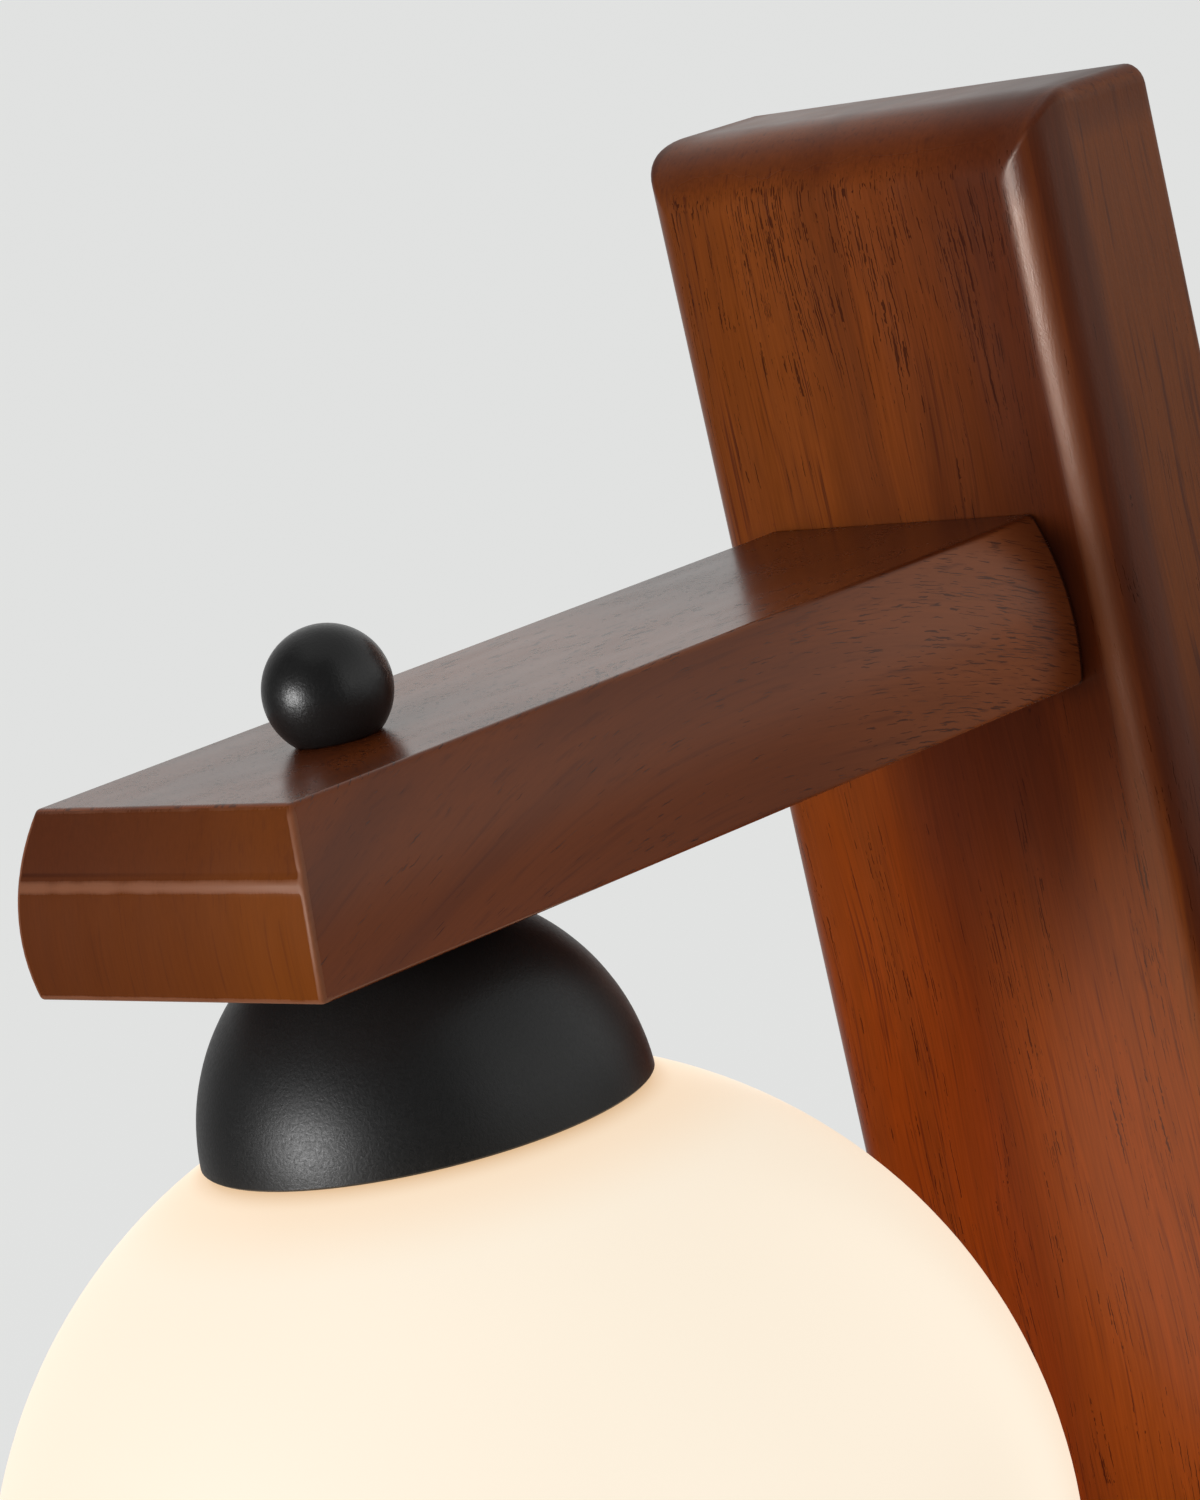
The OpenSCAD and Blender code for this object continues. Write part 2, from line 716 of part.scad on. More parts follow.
module shade_carrier() {
    color("gainsboro") on_axis(carrier_z) difference() {
        union() {
            cylinder(r = carrier_flange_r, h = carrier_t);
            translate([0, 0, -skirt_len]) ring(carrier_thread_r, skirt_bore_r, skirt_len + carrier_t / 2);
            both_sides(post_x) translate([0, 0, -post_len])
                cylinder(d = post_d, h = post_len + carrier_t / 2);
        }
        translate([0, 0, -cut]) cylinder(r = tube_hole_r, h = carrier_t + 2 * cut);
        both_sides(post_x) translate([0, 0, -post_len - cut])
            cylinder(r = holder_screw_d / 2 + thread_gap, h = holder_screw_bite + 2 * cut);
    }
}

module neck_gasket() {
    color("whitesmoke") on_axis(neck_top_z) ring(carrier_flange_r, gasket_bore_r, gasket_t);
}

module carrier_nut() {
    color("silver") on_axis(carrier_nut_z) lamp_nut();
}

module lampholder() {
    color("ivory") on_axis(holder_face_z) difference() {
        union() {
            cylinder(d = holder_d, h = holder_h + flange_t / 2);
            translate([0, 0, holder_h]) cylinder(r = flange_r, h = flange_t);
        }
        // Holes for the screws, and notches up the body that make room for their heads
        both_sides(post_x) {
            translate([0, 0, holder_h - cut])
                cylinder(r = holder_screw_d / 2 + hole_gap, h = flange_t + 2 * cut);
            translate([0, 0, -cut]) cylinder(r = holder_head_r + hole_gap, h = holder_h + cut);
        }
        both_sides(pin_pitch / 2) {
            // Pocket for the contact clip, and hole for the wire above it
            translate([-contact_w / 2 - hole_gap, -contact_d / 2 - hole_gap, -cut])
                cube([contact_w + 2 * hole_gap, contact_d + 2 * hole_gap, pocket_h + cut]);
            translate([0, 0, holder_h + flange_t - holder_wire_depth])
                cylinder(r = wire_d / 2 + hole_gap, h = holder_wire_depth + cut);
        }
    }
}

module holder_screws() {
    color("silver") on_axis(flange_bottom_z) both_sides(post_x) rotate([180, 0, 0])
        slot_screw(holder_screw_d, holder_screw_len, holder_head_r, holder_head_h);
}

module holder_contacts() {
    color("goldenrod") on_axis(holder_face_z + contact_lift) both_sides(pin_pitch / 2) difference() {
        translate([-contact_w / 2, -contact_d / 2, 0]) cube([contact_w, contact_d, contact_h]);
        translate([-contact_w, -contact_slot / 2, -cut])
            cube([2 * contact_w, contact_slot, contact_slot_h + cut]);
    }
}

// Wires

module live_wire() {
    color("saddlebrown") wire_along(wire_route(wire_leads[0], -1), wire_d, [1, 0, 0]);
}

module neutral_wire() {
    color("royalblue") wire_along(wire_route(wire_leads[1], 1), wire_d, [1, 0, 0]);
}

module earth_wire() {
    color("limegreen") wire_along(earth_route, wire_d, [0, 1, 0]);
}

// Globe and bulb

module globe() {
    color("#fef3dc") on_axis(globe_z) difference() {
        sphere(r = globe_r);
        sphere(r = globe_r - globe_t);
        cylinder(r = neck_r, h = globe_r + cut);
    }
}

// Neck of the globe, of the same glass, from the inside of the globe up
module globe_neck() {
    color("#fef3dc") on_axis(globe_z) difference() {
        cylinder(r = neck_r, h = neck_top_z - globe_z);
        sphere(r = globe_r - globe_t);
        cylinder(r = neck_bore_r, h = neck_top_z - globe_z + cut);
    }
}

module neck_ring() {
    color("gainsboro") on_axis(skirt_end_z) ring(ring_r, ring_bore_r, neck_top_z - skirt_end_z);
}

module bulb_base() {
    color("white") on_axis(bulb_cover_z) cylinder(d = bulb_base_d, h = bulb_base_h);
}

module bulb_pins() {
    color("silver") on_axis(holder_face_z) both_sides(pin_pitch / 2) {
        loop_r = (pin_loop_w - pin_wire_d) / 2;
        straight = pin_len - loop_r - pin_wire_d / 2;
        both_sides(loop_r) cylinder(d = pin_wire_d, h = straight);
        translate([0, 0, straight]) rotate([90, 0, 0])
            rotate_extrude(angle = 180) translate([loop_r, 0]) circle(d = pin_wire_d);
    }
}

module bulb_core() {
    color("khaki") on_axis(bulb_cover_z - bulb_core_len)
        translate([-bulb_core_w / 2, -bulb_core_w / 2, 0]) cube([bulb_core_w, bulb_core_w, bulb_core_len]);
}

module bulb_cover() {
    round_z = bulb_cover_d / 2 - bulb_cover_len;
    color("white") on_axis(bulb_cover_z) difference() {
        union() {
            translate([0, 0, round_z]) cylinder(d = bulb_cover_d, h = -round_z);
            translate([0, 0, round_z]) sphere(d = bulb_cover_d);
        }
        translate([0, 0, round_z]) cylinder(r = bulb_cover_d / 2 - bulb_cover_t, h = cut - round_z);
        translate([0, 0, round_z]) sphere(r = bulb_cover_d / 2 - bulb_cover_t);
    }
}

back_board();
wall_bracket();
side_screws();
terminal_block();
terminal_sleeves();
terminal_screws();
block_screws();
earth_tag();
earth_screw();
earth_wire();
arm();
arm_bolts();
arm_washers();
arm_inserts();
threaded_tube();
ball_finial();
cap();
lock_washer();
cap_nut();
shade_carrier();
neck_gasket();
carrier_nut();
lampholder();
holder_screws();
holder_contacts();
live_wire();
neutral_wire();
globe();
globe_neck();
neck_ring();
bulb_base();
bulb_pins();
bulb_core();
bulb_cover();
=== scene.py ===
"""Wall lamp with a stained wooden board and arm, a black ball and cap, and a lit opal glass globe."""

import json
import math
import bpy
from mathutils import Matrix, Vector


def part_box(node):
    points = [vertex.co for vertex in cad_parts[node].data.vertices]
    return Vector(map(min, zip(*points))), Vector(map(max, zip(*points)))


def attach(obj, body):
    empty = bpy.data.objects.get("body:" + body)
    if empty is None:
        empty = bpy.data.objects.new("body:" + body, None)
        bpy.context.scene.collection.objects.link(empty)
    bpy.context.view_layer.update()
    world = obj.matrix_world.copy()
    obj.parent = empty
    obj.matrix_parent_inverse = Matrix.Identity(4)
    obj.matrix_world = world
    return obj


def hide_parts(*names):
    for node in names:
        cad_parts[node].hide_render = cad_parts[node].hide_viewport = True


bl_info = {
    "name": "Wooden wall lamp",
    "version": (1, 0, 0),
    "blender": (4, 5, 0),
    "location": "View3D > Sidebar > Wall lamp",
    "description": "Dresses the wall lamp's solids in wood, black metal, opal glass and their fittings",
    "category": "Object",
}

import bmesh
import bpy
from bpy.props import FloatProperty, FloatVectorProperty, PointerProperty
from mathutils import Matrix, Vector

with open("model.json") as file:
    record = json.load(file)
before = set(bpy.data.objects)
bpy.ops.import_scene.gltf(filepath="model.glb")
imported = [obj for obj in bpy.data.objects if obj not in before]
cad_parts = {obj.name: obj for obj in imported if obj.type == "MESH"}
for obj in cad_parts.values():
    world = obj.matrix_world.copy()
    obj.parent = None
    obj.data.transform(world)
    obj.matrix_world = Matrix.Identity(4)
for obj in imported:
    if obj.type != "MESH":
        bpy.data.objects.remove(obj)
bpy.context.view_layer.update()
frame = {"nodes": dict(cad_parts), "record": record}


def mm(value):
    """Millimetres as metres."""
    return value / 1000.0


def linear(code):
    """A colour written as sRGB hex, as linear red, green and blue."""
    channels = [int(code[i:i + 2], 16) / 255.0 for i in (1, 3, 5)]
    return tuple(c / 12.92 if c <= 0.04045 else ((c + 0.055) / 1.055) ** 2.4 for c in channels)


def solid(colour):
    """A colour as the four numbers that a colour socket takes."""
    return (*colour, 1.0)


BOARD_LOW, BOARD_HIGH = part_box("back_board")
ARM_LOW, ARM_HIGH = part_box("arm")
BALL_LOW, BALL_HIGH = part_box("ball_finial")
CAP_LOW, CAP_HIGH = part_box("cap")
GLOBE_LOW, GLOBE_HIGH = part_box("globe")
NECK_LOW, NECK_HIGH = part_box("globe_neck")
AXIS = Vector(((GLOBE_LOW.x + GLOBE_HIGH.x) / 2, (GLOBE_LOW.y + GLOBE_HIGH.y) / 2, 0.0))
GLOBE_R = (GLOBE_HIGH.x - GLOBE_LOW.x) / 2
GLOBE_Z = GLOBE_LOW.z + GLOBE_R
ARM_MID_Z = (ARM_LOW.z + ARM_HIGH.z) / 2


# Sizes and colours that a user would change

def length_setting(name, description, size):
    """A setting for a length, with its default in millimetres."""
    return FloatProperty(name=name, description=description, default=mm(size), unit="LENGTH")


def colour_setting(name, description, code):
    """A setting for a colour, with its default as sRGB hex."""
    return FloatVectorProperty(
        name=name, description=description, default=linear(code), size=3, min=0.0, max=1.0, subtype="COLOR")


class BoardSettings(bpy.types.PropertyGroup):
    """Shape of the back board."""
    end_round: length_setting("End round", "Radius of the front edges at the top and bottom", 11.4)
    side_round: length_setting("Side round", "Radius of the long front edges", 7.6)
    corner: length_setting("Corner", "Radius of the four corners seen from the front", 3.0)
    mitre: length_setting("Mitre", "Radius of the crease where two rounded edges meet", 0.7)
    back_ease: length_setting("Back edge", "How far the sharp edges at the back are broken", 0.6)
    recess_half_w: length_setting("Recess half width", "Half the width of the hollow in the back", 29.0)
    recess_low: length_setting("Recess bottom", "Level of the hollow's lower end", -72.0)
    recess_high: length_setting("Recess top", "Level of the hollow's upper end", 90.35)
    recess_deep: length_setting("Recess depth", "Depth of the hollow in the back", 17.0)
    recess_corner: length_setting("Recess corner", "Radius of the hollow's corners", 5.0)
    wire_hole_r: length_setting("Wire hole", "Radius of the hole for the wires into the arm", 4.0)
    bolt_hole_r: length_setting("Bolt hole", "Radius of the holes for the arm's bolts", 3.3)
    bolt_out: length_setting("Bolt distance", "How far the arm's bolts are from the middle", 17.0)
    pocket_r: length_setting("Screw pocket", "Radius of the pockets for the side screws' heads", 4.3)
    pocket_deep: length_setting("Screw pocket depth", "Depth of the pockets for the side screws' heads", 3.2)
    screw_out: length_setting("Screw distance", "How far the side screws are from the wall", 9.0)


class ArmSettings(bpy.types.PropertyGroup):
    """Shape of the arm."""
    top_w: length_setting("Top width", "Width of the arm's flat top", 52.6)
    proud: length_setting("Swell", "How far the rounded sides and front end pass the solid's faces", 0.5)
    widest: length_setting("Widest depth", "How far under the top the bowed sides are widest", 16.5)
    end_set: length_setting("End setback", "How far the rounded front end leans back at the top", 4.8)
    end_front: length_setting("End front", "How far under the top the front end reaches out most", 20.2)
    ridge: length_setting("Ridge depth", "How far under the top the front end's ridge lies", 9.8)
    ridge_high: length_setting("Ridge height", "How far the ridge stands out", 0.3)
    ridge_wide: length_setting("Ridge width", "Half the width of the ridge", 1.0)
    edge_break: length_setting("Edge break", "How far the edges are sanded off", 0.6)
    wear_reach: length_setting("Wear reach", "How far the paler wear spreads from an edge", 0.4)


class WoodSettings(bpy.types.PropertyGroup):
    """Stain and grain of the wood, and the colours of its painted shade, glow and highlight."""
    stain: colour_setting("Stain", "Main colour of the stained wood", "#853F14")
    # The dark stain is also the colour of the board's and arm's painted shade
    stain_dark: colour_setting("Dark stain", "Colour of the darker growth bands", "#582510")
    pore: colour_setting("Pore", "Colour of the open pores", "#34150C")
    # The worn colour is also the board's painted highlight along its long right edge
    wear_and_highlight: colour_setting("Worn edge", "Colour of edges where the stain is sanded thin", "#8E5638")
    stain_pale: colour_setting("Pale stain", "Colour where the wood takes less stain", "#A45C34")
    stain_gold: colour_setting("Golden stain", "Colour of the board's brighter parts", "#A85A0E")
    # The low stain is partly a painted warm glow of the globe's light
    low_stain_and_glow: colour_setting("Low stain", "Colour of the board's redder lower half", "#722D09")
    end_stain: colour_setting("End stain", "Colour of the arm's front end", "#7C3F14")
    end_dark: colour_setting("Dark end stain", "Colour of the front end's darker parts", "#562A17")
    crown_y: length_setting("Crown", "Where along the arm its arched grain is highest", -91.5)
    crown_bend: FloatProperty(
        name="Crown bend", description="How strongly the arm's grain arches, per metre", default=3.5)


class MetalSettings(bpy.types.PropertyGroup):
    """Black metal of the ball and cap."""
    black: colour_setting("Black", "Colour of the powder coat", "#1B1B1B")
    satin_black: colour_setting("Satin black", "Colour of the ball's finer powder coat", "#1F1F1F")
    cap_wall: length_setting("Cap wall", "Thickness of the cap's sheet", 1.2)
    cap_top_r: length_setting("Cap top", "Radius of the flat where the cap meets the arm", 13.2)
    rim_gap: length_setting("Rim gap", "Room between the cap's rim and the globe", 0.3)
    ball_seat_r: length_setting("Ball seat", "Radius of the flat under the ball", 5.85)
    ball_hole: length_setting("Ball hole", "Depth of the hole in the ball", 9.0)
    tube_hole_r: length_setting("Tube hole", "Radius of the holes that the lamp tube goes through", 4.3)


class GlassSettings(bpy.types.PropertyGroup):
    """Opal glass of the globe."""
    glow: colour_setting("Glow", "Colour of the light that the glass gives off", "#FFF2DD")
    glow_rim: colour_setting("Glow at the rim", "Colour of the light where the glass turns away", "#FFEAD0")
    glow_cap: colour_setting("Glow at the cap", "Colour of the light near the cap's rim", "#FFE4C4")
    glow_shade: colour_setting("Glow under the rim", "Colour of the glass right under the rim", "#DDB280")
    glow_strength: FloatProperty(
        name="Glow strength", description="Brightness of the lit glass", default=0.865, min=0.0)
    opal: colour_setting("Opal", "Colour of the unlit glass", "#7C7770")
    wall: length_setting("Glass wall", "Thickness of the glass", 3.0)
    neck_fillet: length_setting("Neck fillet", "Radius between the globe and its neck", 1.5)
    lip: length_setting("Lip", "How far the neck's edges are melted round", 0.5)


class StageSettings(bpy.types.PropertyGroup):
    """Floor, light and camera."""
    backdrop: colour_setting("Backdrop", "Colour of the pale surround", "#E1E2E1")
    globe_tint: colour_setting("Globe light", "Colour of the globe's light on the board", "#FFB763")
    floor_z: length_setting("Floor level", "Level of the floor under the lamp", -600.0)
    room_light: FloatProperty(
        name="Room light", description="Even light from all round", default=0.5, min=0.0)
    key_power: FloatProperty(
        name="Softbox power", description="Power of the softbox in front", default=11.5, min=0.0,
        unit="POWER")
    fill_power: FloatProperty(
        name="Fill power", description="Power of the fill light on the right", default=1.4, min=0.0,
        unit="POWER")
    globe_power: FloatProperty(
        name="Globe power", description="Power of the globe's light on the board", default=0.037, min=0.0,
        unit="POWER")
    lens: FloatProperty(
        name="Lens", description="Focal length of the camera in millimetres", default=139.92)
    azimuth: FloatProperty(
        name="Azimuth", description="Direction that the camera looks from, round the lamp",
        default=math.radians(47.93), subtype="ANGLE")
    elevation: FloatProperty(
        name="Elevation", description="Height of the camera's view over the horizon",
        default=math.radians(10.18), subtype="ANGLE")
    roll: FloatProperty(
        name="Roll", description="Turn of the camera about its own axis",
        default=math.radians(-12.81), subtype="ANGLE")
    place: FloatVectorProperty(
        name="Camera place", description="Where the camera stands",
        default=(0.5920, -0.6285, 0.2193), size=3, subtype="TRANSLATION")


# Materials

SMOOTH = {"interpolation_type": "SMOOTHSTEP"}
MIX = {"out": 2, "data_type": "RGBA"}
TINT = {"out": 2, "data_type": "RGBA", "blend_type": "MULTIPLY"}
WHITE = (1.0, 1.0, 1.0)


def add(tree, kind, inputs=(), out=0, **settings):
    """Add a node to a tree with its settings, set or link its inputs, and give one of its outputs.

    The inputs are a list in the order of the sockets, or go by name or number.
    An out of None gives all outputs.
    """
    node = tree.nodes.new(kind)
    for key, value in settings.items():
        setattr(node, key, value)
    for key, value in (inputs if isinstance(inputs, dict) else dict(enumerate(inputs))).items():
        if isinstance(value, bpy.types.NodeSocket):
            tree.links.new(value, node.inputs[key])
        else:
            node.inputs[key].default_value = value
    return node.outputs if out is None else node.outputs[out]


def start_material(name):
    """A new material with an empty tree."""
    material = bpy.data.materials.new(name)
    material.use_nodes = True
    material.node_tree.nodes.clear()
    return material, material.node_tree


def finish_surface(tree, inputs):
    """End a tree with a Principled surface that takes these inputs."""
    surface = add(tree, "ShaderNodeBsdfPrincipled", inputs)
    add(tree, "ShaderNodeOutputMaterial", {"Surface": surface}, out=None)


def grain(tree, place, size, detail, out="Fac"):
    """A pattern whose features have a real size in millimetres along each axis of a place."""
    fitted = add(tree, "ShaderNodeMapping", {"Vector": place, "Scale": [1.0 / mm(s) for s in size]})
    inputs = {"Vector": fitted, "Scale": 1.0, "Detail": detail, "Roughness": 0.6}
    return add(tree, "ShaderNodeTexNoise", inputs, out)


def shares(tree, ramps, joins):
    """Shares over a piece, by name.

    A ramp goes smoothly along a measure, from one place to another in millimetres, between two shares.
    A join takes the shares that it names together by one operation.
    """
    made = {}
    for name, (along, start, end, low, high) in ramps.items():
        made[name] = add(tree, "ShaderNodeMapRange", [along, mm(start), mm(end), low, high], **SMOOTH)
    for name, (operation, first, *others) in joins.items():
        made[name] = made[first]
        for other in others:
            made[name] = add(tree, "ShaderNodeMath", [made[name], made[other]], operation=operation)
    return made


def board_marks(tree, place, x, y, z):
    """Where the board is porous, darker with stain and painted shade, pale, warmed by a painted glow,
    paler with a painted highlight, dull, gritty, and painted with shade round the arm's foot.
    """
    wide = add(tree, "ShaderNodeMath", [x], operation="ABSOLUTE")
    high = add(tree, "ShaderNodeMath", [z], operation="ABSOLUTE")
    from_end = add(tree, "ShaderNodeMath", [BOARD_HIGH.z, high], operation="SUBTRACT")
    depth = add(tree, "ShaderNodeMath", [y, BOARD_LOW.y], operation="SUBTRACT")
    marks = shares(tree, {
        # Pores gather on the flat under the rounded top, and some lie on the lower part
        "near_top": (z, 94, 122, 0.0, 1.0),
        "flat": (depth, 0.3, 1.5, 1.0, -0.6),
        "low_part": (z, 65, 40, 0.0, 0.35),
        # A darker band runs down the upper right, and painted shade darkens the right side downwards
        "right": (x, 0, 33, 0.0, 0.85),
        "front_only": (x, 36, 40, 1.0, 0.2),
        "upper": (z, 10, 75, 0.0, 1.0),
        "side": (x, 37, 40, 0.0, 1.0),
        "lower": (z, 90, 20, 0.0, 1.0),
        # A painted shadow of the arm on the board under it
        "arm_shadow_left": (x, -22, 0, 0.0, 1.0),
        "arm_shadow_right": (x, 18, 30, 1.0, 0.0),
        "under": (z, 5, 48, 0.0, 0.9),
        "arm_shadow_top": (z, 64, 72, 1.0, 0.0),
        # Painted shade along the long edge, where it turns from the light into the side
        "turned": (depth, 0.8, 2.4, 0.0, 0.9),
        "past": (depth, 6, 11, 1.0, 0.0),
        "outer": (wide, 36, 38.5, 0.0, 1.0),
        # Stain gathers on the rounded ends, which are duller
        "end_in": (from_end, 11, 5, 0.0, 0.5),
        "end_out": (from_end, 2.5, 0.5, 1.0, 0.0),
        "dull": (from_end, 8, 2, 0.0, 0.1),
        # Golden towards the upper left, the lower right and the upper side
        "pale_left": (x, 15, -25, 0.0, 0.2),
        "pale_right": (x, -14, 10, 0.0, 0.4),
        "pale_low": (z, 62, 40, 0.0, 1.0),
        "pale_side": (x, 39.5, 40.4, 0.0, 0.3),
        # Paler along the long right edge, where a painted highlight lies on stain sanded thin, and gritty
        # along both long edges
        "highlight_in": (x, 33, 34.6, 0.0, 0.65),
        "highlight_out": (x, 35.8, 38, 1.0, 0.0),
        "highlight_above": (z, 40, 75, 0.25, 1.0),
        "highlight_below": (z, 139, 133, 0.0, 1.0),
        "gritty": (wide, 31, 36, 0.0, 2.5),
        # Redder under the arm: a painted warm glow of the globe's light on the stain
        "low": (z, 66, 40, 0.0, 1.0),
    }, {
        "top_pores": ("MULTIPLY", "near_top", "flat"),
        "porous": ("ADD", "top_pores", "low_part"),
        "upper_right": ("MULTIPLY", "right", "front_only", "upper"),
        "painted_shade_low_side": ("MULTIPLY", "side", "lower"),
        "patch": ("MULTIPLY", "arm_shadow_left", "arm_shadow_right", "under", "arm_shadow_top"),
        "painted_shade_strip": ("MULTIPLY", "turned", "past", "outer"),
        "end_band": ("MULTIPLY", "end_in", "end_out"),
        "dark": ("MAXIMUM", "upper_right", "painted_shade_low_side", "patch", "painted_shade_strip", "end_band"),
        "pale_low_right": ("MULTIPLY", "pale_right", "pale_low"),
        "pale_high_side": ("MULTIPLY", "pale_side", "upper"),
        "pale": ("MAXIMUM", "pale_left", "pale_low_right", "pale_high_side"),
        "wear_and_highlight": ("MULTIPLY", "highlight_in", "highlight_out", "highlight_above", "highlight_below"),
    })
    # Painted shade at the sides of the arm's foot, where the arm shades the board, within a reach of the
    # foot's box
    foot = (0.0, BOARD_LOW.y, ARM_MID_Z - mm(1.5))
    foot_half = (mm(28.5), mm(3), (ARM_HIGH.z - ARM_LOW.z) / 2 - mm(4.5))
    foot_reach = mm(7)
    away = add(tree, "ShaderNodeVectorMath", [place, foot], operation="SUBTRACT")
    away = add(tree, "ShaderNodeVectorMath", [away], operation="ABSOLUTE")
    away = add(tree, "ShaderNodeVectorMath", [away, foot_half], operation="SUBTRACT")
    away = add(tree, "ShaderNodeVectorMath", [away, (0.0, 0.0, 0.0)], operation="MAXIMUM")
    away = add(tree, "ShaderNodeVectorMath", [away], out="Value", operation="LENGTH")
    marks["painted_joint_shade"] = add(tree, "ShaderNodeMapRange", [away, 0.0, foot_reach, 0.85, 0.0], **SMOOTH)
    return marks


def arm_marks(tree, y, z):
    """Where the arm is porous, darker with stain and painted shade, and pale with stain and a painted sheen.
    """
    below = add(tree, "ShaderNodeMath", [ARM_HIGH.z, z], operation="SUBTRACT")
    return shares(tree, {
        "top": (below, 0.9, 0.1, 0.0, 1.0),
        "sides": (below, 0.9, 0.1, 1.0, 0.0),
        # Painted shade, with a painted reflection of the board, on the rear of the top and towards the board
        "top_painted_shade_share": (y, -95, -50, 0.1, 0.95),
        "foot": (y, -40, -28, 0.0, 0.75),
        # The middle of the top is paler, partly lighter stain and partly a painted warm sheen;
        # the rear of the sides takes less stain, and the front of the sides is a little darker
        "top_sheen_in": (y, -130, -105, 0.0, 0.6),
        "top_sheen_out": (y, -62, -50, 1.0, 0.0),
        "rear": (y, -95, -45, 0.0, 0.55),
        "fore": (y, -65, -85, 0.0, 0.15),
        # Pores gather towards the board, and some lie all along the top
        "rear_pores": (y, -95, -50, 0.05, 0.95),
        "top_pores": (below, 0.9, 0.1, 0.0, 0.85),
    }, {
        "top_painted_shade": ("MULTIPLY", "top", "top_painted_shade_share"),
        "side_dark": ("MULTIPLY", "sides", "fore"),
        "dark": ("MAXIMUM", "top_painted_shade", "foot", "side_dark"),
        "side_pale": ("MULTIPLY", "sides", "rear"),
        "top_pale_and_sheen": ("MULTIPLY", "top", "top_sheen_in", "top_sheen_out"),
        "pale": ("MAXIMUM", "side_pale", "top_pale_and_sheen"),
        "porous": ("MAXIMUM", "rear_pores", "top_pores"),
    })


def end_marks(tree, x, z, ridge_z):
    """Where the arm's front end is dark and pale. It has no open pores."""
    above_ridge = add(tree, "ShaderNodeMath", [z, ridge_z], operation="SUBTRACT")
    marks = shares(tree, {
        "left": (x, 24, -26, 0.1, 0.6),
        "over": (above_ridge, -1, 2, 0.0, 0.3),
        "pale": (x, 4, 22, 0.0, 0.14),
    }, {"dark": ("ADD", "left", "over")})
    marks["porous"] = -2.0
    return marks


# Marks that a cut of wood doesn't have
UNMARKED = dict.fromkeys(("pale", "low", "wear_and_highlight", "painted_joint_shade", "dull", "gritty"), 0.0)

# How deep each cut shows its bands, streaks and fibres, then the size of its pores in millimetres,
# how deep they show, where they start in sparse and dense patches, and how they change the
# roughness and the height.
# Lacquer pools in the board's pores, so they are shallow and shine.
BOARD_PORES = {
    "size": (0.25, 0.25, 8), "depth": 0.76, "sparse": 0.83, "dense": 0.70, "rough": -0.08, "drop": -0.3}
ARM_PORES = {
    "size": (0.9, 0.2, 3.2), "depth": 0.75, "sparse": 0.79, "dense": 0.73, "rough": 0.04, "drop": -0.5}
CUTS = {
    "board": (0.5, 0.8, 0.2, BOARD_PORES),
    "arm": (0.5, 0.45, 0.08, ARM_PORES),
    "end": (0.15, 0.4, 0.08, BOARD_PORES),
}


